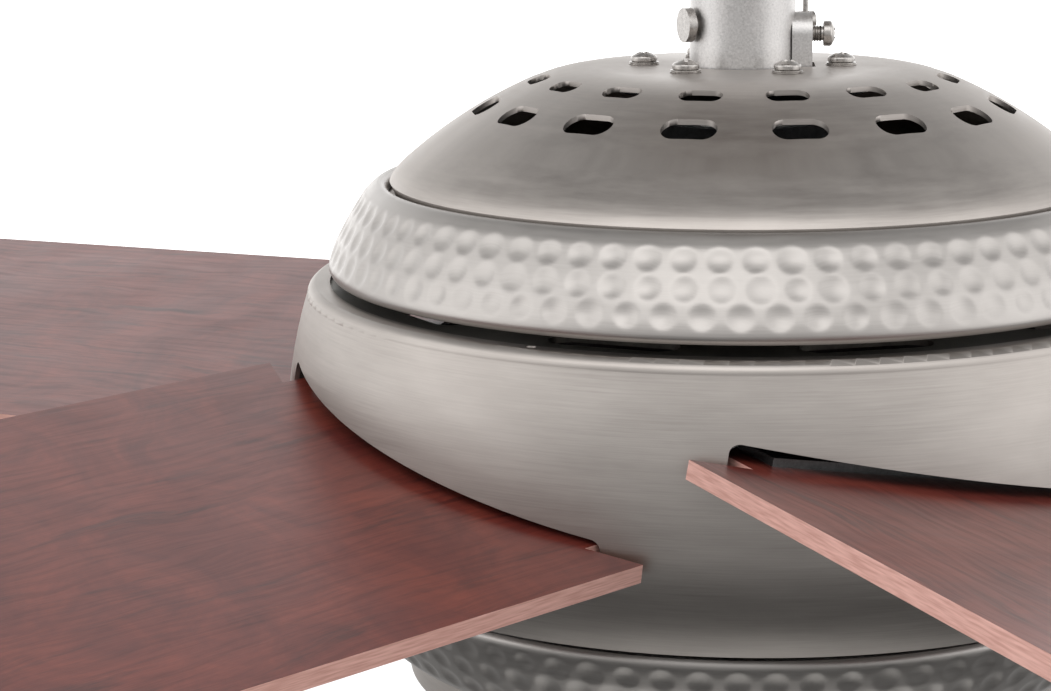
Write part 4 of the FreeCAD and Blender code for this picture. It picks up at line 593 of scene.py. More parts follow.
# Painted shade: the die-cast parts are darkened to near black so that the motor's inside reads as shade
# through the vents.
CAST = GrainedMetal("die_cast_aluminium_painted_shade", "cast_aluminium", dark=(0.06, 0.06, 0.062),
                    light=(0.11, 0.11, 0.112), roughness=0.5, grain_size=520.0, relief=0.2)
CAP = GrainedMetal("lamp_cap_metal", "lamp_cap", roughness=0.26, grain_size=700.0)
IRON = Coated("gloss_black_paint", "black_iron", roughness=0.16, coat=0.6, relief=0.04)
NYLON = Coated("grey_nylon_moulding", "grey_nylon", dark=(0.09, 0.09, 0.10), light=(0.14, 0.14, 0.15))
BLACK = Coated("black_moulding", "black_plastic", dark=(0.012, 0.012, 0.013),
               light=(0.026, 0.026, 0.028))
SWITCH = Coated("gloss_switch_moulding", "switch_plastic", roughness=0.22, coat=0.2)
PORCELAIN = Coated("glazed_porcelain", "white_porcelain", dark=(0.78, 0.77, 0.73),
                   light=(0.88, 0.87, 0.84), roughness=0.14, coat=0.5, relief=0.03)
RUBBER = Coated("soft_rubber", "gasket_rubber", dark=(0.02, 0.02, 0.02), light=(0.045, 0.045, 0.045),
                roughness=0.75, relief=0.15)
BOWL = Glass("frosted_bowl_glass", "frosted_glass")
LAMP = Glass("frosted_lamp_glass", "lamp_glass", tint=(0.95, 0.94, 0.91), roughness=0.25)


# ---------------------------------------------------------------- mesh work


def add_piece(name: str, mesh: bpy.types.Mesh, finish: Finish, body: Body,
              stands_for: tuple[str, ...] = ()) -> bpy.types.Object:
    """Puts a mesh in the scene as one piece of the fan.

    Args:
        name: Name of the piece.
        mesh: Its mesh.
        finish: What it is made of.
        body: The body that it rides on.
        stands_for: CAD nodes that it replaces.

    Returns:
        The new object.
    """
    piece = bpy.data.objects.new(name, mesh)
    bpy.context.scene.collection.objects.link(piece)
    mesh.materials.clear()
    mesh.materials.append(finish.material())
    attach(piece, body.value)
    if stands_for:
        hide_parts(*stands_for)
    return piece


def revolve(name: str, profile: list[tuple[float, float]], steps: int = 192,
            sharp_angle: float = 40.0) -> bpy.types.Mesh:
    """Turns a closed outline of (radius, z) about the fan's axis.

    Args:
        name: Mesh name.
        profile: Corners of the outline, in order round the section.
        steps: Number of steps round the axis.
        sharp_angle: Corners sharper than this many degrees stay sharp.

    Returns:
        The mesh.
    """
    angles = np.linspace(0.0, 2 * math.pi, steps, endpoint=False)
    radii, levels = np.array(profile).T
    points = np.stack([np.outer(np.sin(angles), radii), -np.outer(np.cos(angles), radii),
                       np.tile(levels, (steps, 1))], axis=-1).reshape(-1, 3)
    count = len(profile)
    faces = []
    for step in range(steps):
        here, there = step * count, ((step + 1) % steps) * count
        for corner in range(count):
            after = (corner + 1) % count
            faces.append((here + corner, there + corner, there + after, here + after))
    mesh = bpy.data.meshes.new(name)
    mesh.from_pydata(points.tolist(), [], faces)
    finish_mesh(mesh, sharp_angle)
    return mesh


def finish_mesh(mesh: bpy.types.Mesh, sharp_angle: float) -> None:
    """Merges doubled points, makes the faces look outward and smooths all but sharp corners.

    Args:
        mesh: The mesh, which is changed.
        sharp_angle: Corners sharper than this many degrees stay sharp.
    """
    work = bmesh.new()
    work.from_mesh(mesh)
    bmesh.ops.remove_doubles(work, verts=work.verts, dist=1e-6)
    bmesh.ops.recalc_face_normals(work, faces=work.faces)
    work.to_mesh(mesh)
    work.free()
    mesh.shade_smooth()
    mesh.set_sharp_from_angle(angle=math.radians(sharp_angle))


def eased_copy(node: str, name: str, width: float, sharp_angle: float = 32.0) -> bpy.types.Mesh:
    """Copies a CAD node's mesh with every sharp edge rounded over.

    Args:
        node: The CAD node.
        name: Mesh name.
        width: Width of the rounding.
        sharp_angle: Edges sharper than this many degrees are rounded.

    Returns:
        The new mesh.
    """
    work = bmesh.new()
    work.from_mesh(frame["nodes"][node].data)
    bmesh.ops.remove_doubles(work, verts=work.verts, dist=2e-6)
    bmesh.ops.dissolve_limit(work, angle_limit=math.radians(0.4), verts=work.verts, edges=work.edges)
    mesh = bpy.data.meshes.new(name)
    work.to_mesh(mesh)
    work.free()
    mesh.shade_smooth()
    holder = bpy.data.objects.new(name, mesh)
    bpy.context.scene.collection.objects.link(holder)
    bevel = holder.modifiers.new("ease", "BEVEL")
    bevel.width = width
    bevel.segments = 2
    bevel.limit_method = "ANGLE"
    bevel.angle_limit = math.radians(sharp_angle)
    bevel.use_clamp_overlap = True
    bevel.miter_outer = "MITER_ARC"
    level = holder.modifiers.new("level", "WEIGHTED_NORMAL")
    level.mode = "FACE_AREA"
    level.weight = 100
    result = bpy.data.meshes.new_from_object(holder.evaluated_get(bpy.context.evaluated_depsgraph_get()))
    bpy.data.objects.remove(holder)
    result.name = name
    return result


def arc_line(start: tuple[float, float], end: tuple[float, float], radius: float,
             steps: int = 40) -> list[tuple[float, float]]:
    """Points along an arc that bulges outward between two (radius, z) points.

    Args:
        start: First point, left out of the result.
        end: Last point.
        radius: Radius of the arc.
        steps: Number of points.

    Returns:
        The points, from the first step to the end.
    """
    first, last = Vector(start), Vector(end)
    chord = last - first
    side = Vector((chord.y, -chord.x)).normalized()
    centre = (first + last) / 2 + side * math.sqrt(max(radius ** 2 - (chord.length / 2) ** 2, 0.0))
    low, high = first - centre, last - centre
    angle = low.angle_signed(high)
    points = []
    for step in range(1, steps + 1):
        arm = low.copy()
        arm.rotate(Matrix.Rotation(-angle * step / steps, 2))
        points.append(tuple(centre + arm))
    return points


def turned_normals(mesh: bpy.types.Mesh, line: list[tuple[float, float]], lean: float = 14.0) -> None:
    """Gives the faces that lie along a turned line the exact normals of that line.

    Args:
        mesh: The mesh to shade.
        line: Points (radius, z) along the turned surface.
        lean: Faces that lean away from the line by more than this many degrees keep theirs.
    """
    points = np.array(line)
    slope = np.gradient(points, axis=0)
    slope /= np.linalg.norm(slope, axis=1)[:, None]
    outward = np.stack([-slope[:, 1], slope[:, 0]], axis=-1)
    places = np.empty(len(mesh.vertices) * 3)
    mesh.vertices.foreach_get("co", places)
    places = places.reshape(-1, 3)
    reach = np.hypot(places[:, 0], places[:, 1])
    flat = np.stack([reach, places[:, 2]], axis=-1)
    nearest = np.argmin(((flat[:, None, :] - points[None, :, :]) ** 2).sum(axis=-1), axis=1)
    share = places[:, :2] / np.maximum(reach, 1e-6)[:, None]
    exact = np.concatenate([share * outward[nearest, :1], outward[nearest, 1:]], axis=1)
    normals = np.empty(len(mesh.loops) * 3)
    mesh.corner_normals.foreach_get("vector", normals)
    normals = normals.reshape(-1, 3)
    limit = math.cos(math.radians(lean))
    for face in mesh.polygons:
        for loop in face.loop_indices:
            along = exact[mesh.loops[loop].vertex_index]
            match = float(np.dot(along, face.normal))
            if abs(match) > limit:
                normals[loop] = along * math.copysign(1.0, match)
    mesh.normals_split_custom_set(normals.tolist())


# ---------------------------------------------------------------- the fan's sub-assemblies


@dataclass
class PlainNodes:
    """CAD nodes whose shape already serves; they only need their finish."""

    finishes: dict[str, Finish]

    def dress(self) -> None:
        """Gives each node its finish."""
        for node, finish in self.finishes.items():
            data = frame["nodes"][node].data
            data.materials.clear()
            data.materials.append(finish.material())
            LOG.info("dressed %s", node)


SLOT_FINISH = {finish.slot: finish for finish in (
    NICKEL, STEEL, ZINC, SHEET, GROUND, LAMINATION, COPPER, CAST, CAP, IRON, NYLON, BLACK, SWITCH,
    PORCELAIN, RUBBER, BOWL, LAMP)}


@dataclass
class HammeredBand:
    """Flared ring with rows of shallow dents.

    Attributes:
        node: The CAD ring that it stands for.
        upward: True when the ring narrows upward from its lip.
        rows: Drop from the crest, in millimetres, and direction, in degrees, of each row of dents.
        dents_per_row: Number of dents in a row.
        dent_radius: Radius of a dent.
        dent_depth: Depth of a dent at its centre.
        dent_power: How sharply a dent falls from its rim.
        sway: How far a dent strays from its place.
        spread: How much the dents differ in size.
        smoothing: How often the outline's corners are softened.
        steps_round: Number of steps round the axis.
        steps_down: Number of steps from the crest to the lip.
    """

    node: str
    upward: bool
    rows: tuple[tuple[float, float], ...] = ((6.7, 1.97), (14.4, 2.42), (22.0, 0.08))
    dents_per_row: int = 78
    dent_radius: float = 4.3 * MM
    dent_depth: float = 0.62 * MM
    dent_power: float = 1.35
    sway: float = 0.2 * MM
    spread: float = 0.05
    smoothing: int = 3
    steps_round: int = 1248
    steps_down: int = 56

    def outline(self) -> list[tuple[float, float]]:
        """Lists the points down the outside, from the crest to the lip.

        Returns:
            The points, as (radius, drop from the crest).
        """
        crest = [(113.1, 3.0), (113.6, 1.7), (114.8, 0.7), (116.6, 0.1), (118.6, 0.0), (120.4, 0.9)]
        if self.upward:
            crest = [(115.3, 3.6), (115.5, 2.2), (116.2, 1.0), (117.4, 0.25), (118.8, 0.0), (120.4, 0.9)]
        flank = [(123.7, 3.8), (126.9, 8.8), (130.0, 13.8), (132.7, 19.0), (134.6, 23.6)]
        lip = [(135.4, 26.4), (135.5, 28.2), (134.6, 29.2)]
        return [(radius * MM, drop * MM) for radius, drop in crest + flank + lip]

    def build(self) -> bpy.types.Object:
        """Makes the dented ring and puts it in place of the plain one.

        Returns:
            The ring.
        """
        low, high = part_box(self.node)
        crest = high.z if self.upward else low.z
        way = -1.0 if self.upward else 1.0
        points = np.array(self.outline())
        length = np.concatenate([[0.0], np.cumsum(np.hypot(*np.diff(points, axis=0).T))])
        marks = np.linspace(0.0, length[-1], self.steps_down)
        curve = np.stack([np.interp(marks, length, points[:, 0]), np.interp(marks, length, points[:, 1])],
                         axis=-1)
        for _ in range(self.smoothing):
            curve[1:-1] = (curve[:-2] + 2 * curve[1:-1] + curve[2:]) / 4
        slope = np.gradient(curve, axis=0)
        outward = np.stack([slope[:, 1], -slope[:, 0]], axis=-1)
        outward /= np.linalg.norm(outward, axis=1)[:, None]
        angles = np.linspace(0.0, 2 * math.pi, self.steps_round, endpoint=False)
        depth = self.dents(angles, curve)
        radius = curve[None, :, 0] - depth * outward[None, :, 0]
        drop = curve[None, :, 1] - depth * outward[None, :, 1]
        fold = [(118.8, 2.6), (117.0, 3.0), (116.6, 4.0)] if self.upward \
            else [(118.6, 2.2), (115.2, 2.4), (113.3, 4.6)]
        inner = np.array([(133.2, 29.2), (132.4, 25.0), *fold]) * MM
        radius = np.concatenate([radius, np.tile(inner[:, 0], (self.steps_round, 1))], axis=1)
        drop = np.concatenate([drop, np.tile(inner[:, 1], (self.steps_round, 1))], axis=1)
        mesh = ring_mesh(self.node + "_dented", angles, radius, crest + way * drop)
        piece = add_piece(self.node + "_dented", mesh, PEENED, Body.FAN, (self.node,))
        LOG.info("built %s with %d dents", piece.name, self.dents_per_row * len(self.rows))
        return piece

    def dents(self, angles: np.ndarray, curve: np.ndarray) -> np.ndarray:
        """Finds how deep the surface is pressed in.

        Args:
            angles: Angle of each section.
            curve: Points down the outside, as (radius, drop from the crest).

        Returns:
            The depth, one row for each section.
        """
        total = np.zeros((len(angles), len(curve)))
        step = 2 * math.pi / self.dents_per_row
        rng = np.random.default_rng(7)
        for level, phase in self.rows:
            place = np.argmin(abs(curve[:, 1] - level * MM))
            ring_radius = curve[place, 0]
            index = np.round((angles - math.radians(phase)) / step)
            sway = rng.normal(0.0, self.sway, self.dents_per_row)[index.astype(int) % self.dents_per_row]
            across = (angles - math.radians(phase) - index * step) * ring_radius + sway
            down = np.linalg.norm(curve - curve[place], axis=1) * np.sign(curve[:, 1] - curve[place, 1])
            size = rng.normal(1.0, self.spread, self.dents_per_row)[index.astype(int) % self.dents_per_row]
            reach = np.hypot(across[:, None], down[None, :]) / (self.dent_radius * size[:, None])
            total += self.dent_depth * np.clip(1 - reach ** 2, 0, None) ** self.dent_power
        return total


def ring_mesh(name: str, angles: np.ndarray, radius: np.ndarray, level: np.ndarray) -> bpy.types.Mesh:
    """Closed ring from a section that may change round the axis.

    Args:
        name: Mesh name.
        angles: Angle of each section.
        radius: Radius of each point, one row for each section.
        level: Height of each point, one row for each section.

    Returns:
        The mesh, smooth but for its sharp corners.
    """
    points = np.stack([radius * np.sin(angles)[:, None], -radius * np.cos(angles)[:, None], level], axis=-1)
    steps, count = radius.shape
    grid = np.arange(steps * count).reshape(steps, count)
    following = np.roll(grid, -1, axis=0)
    faces = np.stack([grid, following, np.roll(following, -1, axis=1), np.roll(grid, -1, axis=1)], axis=-1)
    mesh = bpy.data.meshes.new(name)
    mesh.from_pydata(points.reshape(-1, 3).tolist(), [], faces.reshape(-1, 4).tolist())
    finish_mesh(mesh, 50.0)
    return mesh


@dataclass
class Shells:
    """Pressed dome and spun housing, with soft edges round their openings.

    Attributes:
        dome: Radius, height and bend radius of each corner of the dome's outer line, in
            millimetres, from the flat top to the start of its edge.
        housing: The same for the housing, from its rim to its foot.
        ease: Rounding of the edges of the openings.
        edge_foot: Drop of the dome's edge below its top, in millimetres.
        edge_bend: Radius of the edge's bend before it is rolled out.
        edge_centre: Radius at which the centre of that bend lies.
        edge_inside: Points nearer the axis than this are left where they are.
        roll_start: Run for each unit of drop where the rolled edge starts.
        roll_loss: How much of that run is lost by the foot.
        straight_steps: Number of points along a straight stretch.
    """

    dome: tuple[tuple[float, float, float], ...] = (
        (18.5, 0.0, 0.0), (48.0, 0.0, 0.0), (70.0, -4.576, 55.17), (110.148, -29.907, 156.03))
    housing: tuple[tuple[float, float, float], ...] = (
        (135.2, 0.0, 0.0), (139.8, 0.0, 0.0), (142.86, -4.0, 4.0), (150.4, -52.7, 159.0),
        (141.7, -85.1, 64.0))
    ease: float = 0.35 * MM
    edge_foot: float = 35.945
    edge_bend: float = 8.0 * MM
    edge_centre: float = 104.9 * MM
    edge_inside: float = 106.0 * MM
    roll_start: float = 1.15
    roll_loss: float = 0.34
    straight_steps: int = 12

    def line(self, corners: tuple[tuple[float, float, float], ...], top: float) -> list[tuple[float, float]]:
        """Places points densely along a line of straights and bends.

        Args:
            corners: Radius, height and bend radius of each corner, in millimetres.
            top: Level that the heights are measured from.

        Returns:
            The points, as (radius, z).
        """
        points = [(corners[0][0] * MM, top + corners[0][1] * MM)]
        for reach, drop, bend in corners[1:]:
            end = (reach * MM, top + drop * MM)
            if bend:
                points += arc_line(points[-1], end, bend * MM)
            else:
                start, count = points[-1], self.straight_steps
                points += [(start[0] + (end[0] - start[0]) * step / count,
                            start[1] + (end[1] - start[1]) * step / count)
                           for step in range(1, count + 1)]
        return points

    def edge_radius(self, share: float) -> float:
        """Finds the radius of the dome's rolled edge.

        Args:
            share: How far down the edge, from its bend (0) to its foot (1).

        Returns:
            The radius.
        """
        reach, drop, _ = self.dome[-1]
        run = self.roll_start * share - self.roll_loss * share ** 2
        return (reach + (self.edge_foot + drop) * run) * MM

    def roll_edge(self, mesh: bpy.types.Mesh, top: float) -> None:
        """Rolls the dome's edge out over the band's crest.

        Args:
            mesh: The dome's mesh, which is changed.
            top: Level of the dome's top.
        """
        drop = self.dome[-1][1]
        for vertex in mesh.vertices:
            share = ((drop * MM + top) - vertex.co.z) / ((self.edge_foot + drop) * MM)
            now = math.hypot(vertex.co.x, vertex.co.y)
            if 0.0 < share < 1.01 and now > self.edge_inside:
                level = vertex.co.z - top + self.edge_foot * MM
                plain = self.edge_centre + math.sqrt(max(self.edge_bend ** 2 - level ** 2, 0.0))
                wide = (now + self.edge_radius(share) - plain) / now
                vertex.co.x *= wide
                vertex.co.y *= wide

    def build(self) -> None:
        """Puts an eased, evenly shaded shell in place of each CAD one."""
        for node, body, corners in (("upper_dome", Body.FAN, self.dome),
                                    ("middle_housing", Body.ROTOR, self.housing)):
            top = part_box(node)[1].z
            mesh = eased_copy(node, node + "_shell", self.ease)
            points = self.line(corners, top)
            if node == "upper_dome":
                self.roll_edge(mesh, top)
                drop = corners[-1][1]
                points += [(self.edge_radius(share), top + (drop - share * (self.edge_foot + drop)) * MM)
                           for share in np.linspace(0.05, 1.0, 20)]
            turned_normals(mesh, points)
            add_piece(node + "_shell", mesh, NICKEL, body, (node,))
            LOG.info("built %s", node)


@dataclass
class EasedParts:
    """Hard-edged CAD parts that get a small rounding along their edges.

    Attributes:
        widths: Rounding in millimetres for each node.
    """

    widths: dict[str, float]

    def build(self, bodies: dict[str, Body], finishes: dict[str, Finish]) -> None:
        """Puts a rounded copy in place of each node.

        Args:
            bodies: The body of each node.
            finishes: The finish of each node.
        """
        for node, width in self.widths.items():
            mesh = eased_copy(node, node + "_eased", width * MM)
            add_piece(node + "_eased", mesh, finishes[node], bodies[node], (node,))
            LOG.info("eased %s", node)


@dataclass
class Blades:
    """The laminate blades, each in a frame of its own so that its grain follows it.

    Attributes:
        count: Number of blades.
        phase: Direction of the first blade, in degrees.
        pitch: Twist about the blade's length, in degrees.
        droop: Slope toward the tip, in degrees.
        pivot: Radius at which the blade's own frame stands.
        drop: Drop of that frame below the dome's top.
        ease: Rounding of the edges.
        seed_step: How far apart the grain of two blades is read.
    """

    count: int = 5
    phase: float = -133.4
    pitch: float = 10.1
    droop: float = 1.4
    pivot: float = 136.0 * MM
    drop: float = 108.15 * MM
    ease: float = 0.5 * MM
    seed_step: float = 3.7

    def frame_of(self, index: int) -> Matrix:
        """Finds the place of one blade's own frame, with x out along the blade.

        Args:
            index: Which blade, from 0.

        Returns:
            The frame's place.
        """
        azimuth = math.radians(self.phase + index * 360.0 / self.count)
        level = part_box("upper_dome")[1].z - self.drop
        place = Matrix.Translation((self.pivot * math.cos(azimuth), self.pivot * math.sin(azimuth), level))
        turn = Matrix.Rotation(azimuth, 4, "Z") @ Matrix.Rotation(math.radians(self.droop), 4, "Y")
        return place @ turn @ Matrix.Rotation(math.radians(-self.pitch), 4, "X")

    def build(self) -> None:
        """Makes each blade from its CAD outline with eased edges."""
        for index in range(self.count):
            node = f"blade_{index + 1}"
            mesh = eased_copy(node, node + "_board", self.ease)
            local = self.frame_of(index)
            mesh.transform(local.inverted())
            finish = Laminate(f"cherry_laminate_{index + 1}", "cherry_veneer", seed=self.seed_step * index)
            piece = add_piece(node + "_board", mesh, finish, Body.ROTOR, (node,))
            piece.matrix_local = local
            LOG.info("built %s", piece.name)


@dataclass
class CrossHead:
    """Pan head with a cross recess, modelled about its own z axis.

    Attributes:
        radius: Radius of the head.
        height: Height of the head.
        arm: Half width of the recess's arms.
        reach: Half length of the recess's arms.
        depth: Depth of the recess.
        crown: Drop of the rounded top from its centre to the start of its corner.
        crown_share: Share of the radius that the rounded top takes.
        edge: Width of the slope at the sides of the recess.
        steps: Number of steps round the head.
    """

    radius: float
    height: float
    arm: float = 0.75 * MM
    reach: float = 2.5 * MM
    depth: float = 1.2 * MM
    crown: float = 0.9 * MM
    crown_share: float = 0.72
    edge: float = 0.14 * MM
    steps: int = 96

    def points(self, turn: float) -> np.ndarray:
        """Works out the head from its centre to its foot.

        Args:
            turn: Angle of the recess about the axis.

        Returns:
            The points (x, y, z), one row for each angle.
        """
        angles = np.linspace(0.0, 2 * math.pi, self.steps, endpoint=False)
        inner = np.linspace(0.03 * MM, self.radius * self.crown_share, 34)
        crown = self.height - self.crown * (inner / (self.radius * self.crown_share)) ** 2
        bend = np.radians(np.linspace(40.0, 90.0, 9))
        corner = self.radius * 0.28
        outer = self.radius - corner * (1 - np.sin(bend)) / (1 - math.sin(bend[0]))
        side = self.height - self.crown - 1.25 * corner * (np.cos(bend[0]) - np.cos(bend))
        reach = np.concatenate([inner, outer, [self.radius * 0.99, self.radius * 0.9]])
        level = np.concatenate([crown, side, [0.2 * MM, 0.0]])
        across = reach[None, :] * np.cos(angles - turn)[:, None]
        along = reach[None, :] * np.sin(angles - turn)[:, None]
        sunk = np.maximum(self.slot(across, along), self.slot(along, across)) * self.depth
        return np.stack([reach[None, :] * np.cos(angles)[:, None],
                         reach[None, :] * np.sin(angles)[:, None], level[None, :] - sunk], axis=-1)

    def slot(self, long_way: np.ndarray, short_way: np.ndarray) -> np.ndarray:
        """Finds the share of the depth that one arm of the recess has.

        Args:
            long_way: Distance of each point along the arm.
            short_way: Distance of each point across it.

        Returns:
            The share at each point, from 0 to 1.
        """
        wide = np.clip((self.arm - abs(short_way)) / self.edge, 0.0, 1.0)
        ends = np.clip((self.reach - abs(long_way)) / (4 * self.edge), 0.0, 1.0)
        return wide * ends

    def faces(self, place: Matrix, turn: float) -> tuple[list[tuple[float, float, float]], np.ndarray]:
        """Stands the head in its place.

        Args:
            place: Where its foot stands.
            turn: Angle of the recess about the axis.

        Returns:
            Its points and the quads between them.
        """
        grid = self.points(turn)
        steps, count = grid.shape[:2]
        spots = np.array([place @ Vector(spot) for spot in grid.reshape(-1, 3)])
        index = np.arange(steps * count).reshape(steps, count)
        after = np.roll(index, -1, axis=0)
        quads = np.stack([index[:, :-1], index[:, 1:], after[:, 1:], after[:, :-1]], axis=-1)
        return spots.tolist(), quads.reshape(-1, 4)


def stacked_mesh(name: str, parts: list[tuple[list, np.ndarray]], sharp_angle: float) -> bpy.types.Mesh:
    """Joins several grids of points and quads in one mesh.

    Args:
        name: Mesh name.
        parts: Points and quads of each grid.
        sharp_angle: Corners sharper than this many degrees stay sharp.

    Returns:
        The mesh.
    """
    spots, faces = [], []
    for more_spots, quads in parts:
        faces += (np.asarray(quads) + len(spots)).tolist()
        spots += list(more_spots)
    mesh = bpy.data.meshes.new(name)
    mesh.from_pydata(spots, [], faces)
    finish_mesh(mesh, sharp_angle)
    return mesh


def round_part(profile: list[tuple[float, float]], place: Matrix, steps: int = 72) -> tuple[list, np.ndarray]:
    """Closed turned part, stood in its place.

    Args:
        profile: Corners (radius, z), in order along its axis.
        place: Where it stands.
        steps: Number of steps round its axis.

    Returns:
        Its points and the quads between them.
    """
    angles = np.linspace(0.0, 2 * math.pi, steps, endpoint=False)
    outline = np.array(profile)
    grid = np.stack([np.outer(np.cos(angles), outline[:, 0]), np.outer(np.sin(angles), outline[:, 0]),
                     np.tile(outline[:, 1], (steps, 1))], axis=-1)
    spots = [tuple(place @ Vector(spot)) for spot in grid.reshape(-1, 3)]
    index = np.arange(steps * len(outline)).reshape(steps, -1)
    after = np.roll(index, -1, axis=0)
    quads = np.stack([index, after, np.roll(after, -1, axis=1), np.roll(index, -1, axis=1)], axis=-1)
    return spots, quads.reshape(-1, 4)


@dataclass
class DomeScrews:
    """Cross-head screws on rounded washers round the collar.

    Attributes:
        circle: Radius of the circle that they stand on.
        count: Number of screws.
        phase: Direction of the first one, in degrees.
        washer: Thickness of the washers.
        shank: Radius of the shanks.
        shank_length: Length of the shanks.
        shank_overlap: How far a shank reaches into its head.
        first_turn: Angle of the first recess.
        turn_step: Angle from one recess to the next.
        head: The screws' head.
    """

    circle: float = 31.9 * MM
    count: int = 6
    phase: float = -183.5
    washer: float = 1.0 * MM
    shank: float = 2.4 * MM
    shank_length: float = 8.0 * MM
    shank_overlap: float = 0.3 * MM
    first_turn: float = 0.4
    turn_step: float = 1.1
    head: CrossHead = field(default_factory=lambda: CrossHead(4.3 * MM, 3.2 * MM))

    def build(self) -> None:
        """Makes the screws as one piece and their washers as another."""
        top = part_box("upper_dome")[1].z
        screws, washers = [], []
        outline = [(2.5, 0.0), (4.75, 0.0), (4.9, 0.12), (4.9, 0.35), (4.7, 0.5), (4.85, 0.62), (4.85, 0.8),
                   (4.65, 0.95), (2.5, 1.0)]
        ring = [(reach * MM, rise * MM) for reach, rise in outline]
        shank = [(0.0, -self.shank_length), (self.shank, -self.shank_length),
                 (self.shank, self.shank_overlap), (0.0, self.shank_overlap)]
        for index in range(self.count):
            angle = math.radians(self.phase + index * 360.0 / self.count)
            spot = Vector((self.circle * math.cos(angle), self.circle * math.sin(angle), top))
            washers.append(round_part(ring, Matrix.Translation(spot)))
            seat = Matrix.Translation(spot + Vector((0.0, 0.0, self.washer)))
            screws.append(self.head.faces(seat, self.first_turn + self.turn_step * index))
            screws.append(round_part(shank, seat, 32))
        add_piece("dome_screw_set", stacked_mesh("dome_screw_set", screws, 38.0), ZINC, Body.FAN,
                  ("dome_screws",))
        add_piece("dome_washer_set", stacked_mesh("dome_washer_set", washers, 38.0), ZINC, Body.FAN,
                  ("dome_washers",))
        LOG.info("built %d dome screws and washers", self.count)


@dataclass
class SetScrew:
    """Threaded screw that stands out of the collar's ear.

    Attributes:
        rise: Height of its axis over the dome's top.
        tip: Distance of its tip from the fan's axis.
        face: Distance of the foot of its head from the fan's axis.
        thread_radius: Outer radius of the thread.
        thread_depth: Depth of the thread.
        thread_pitch: Distance between two turns.
        tail: How far the thread reaches into the head.
        recess_turn: Angle of the recess.
        head: Its head.
    """

    rise: float = 10.0 * MM
    tip: float = 13.55 * MM
    face: float = 26.1 * MM
    thread_radius: float = 2.75 * MM
    thread_depth: float = 0.45 * MM
    thread_pitch: float = 0.85 * MM
    tail: float = 0.3 * MM
    recess_turn: float = 0.6
    head: CrossHead = field(default_factory=lambda: CrossHead(4.1 * MM, 4.0 * MM, reach=2.3 * MM))

    def build(self) -> None:
        """Makes the thread and the head, lying along x."""
        place = Matrix.Translation((0.0, 0.0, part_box("upper_dome")[1].z + self.rise)) \
            @ Matrix.Rotation(math.radians(90.0), 4, "Y")
        root = self.thread_radius - self.thread_depth
        profile = [(0.0, self.tip), (self.thread_radius - 0.6 * MM, self.tip)]
        turns = int((self.face - self.tip) / self.thread_pitch)
        for turn in range(turns):
            at = self.tip + turn * self.thread_pitch
            profile += [(root, at + 0.1 * MM), (self.thread_radius, at + 0.5 * self.thread_pitch),
                        (root, at + self.thread_pitch)]
        profile += [(root, self.face + self.tail), (0.0, self.face + self.tail)]
        seat = place @ Matrix.Translation((0.0, 0.0, self.face))
        parts = [round_part(profile, place), self.head.faces(seat, self.recess_turn)]
        add_piece("ear_screw", stacked_mesh("ear_screw", parts, 34.0), ZINC, Body.FAN,
                  ("collar_set_screw",))
        LOG.info("built the ear's screw")


# ---------------------------------------------------------------- studio


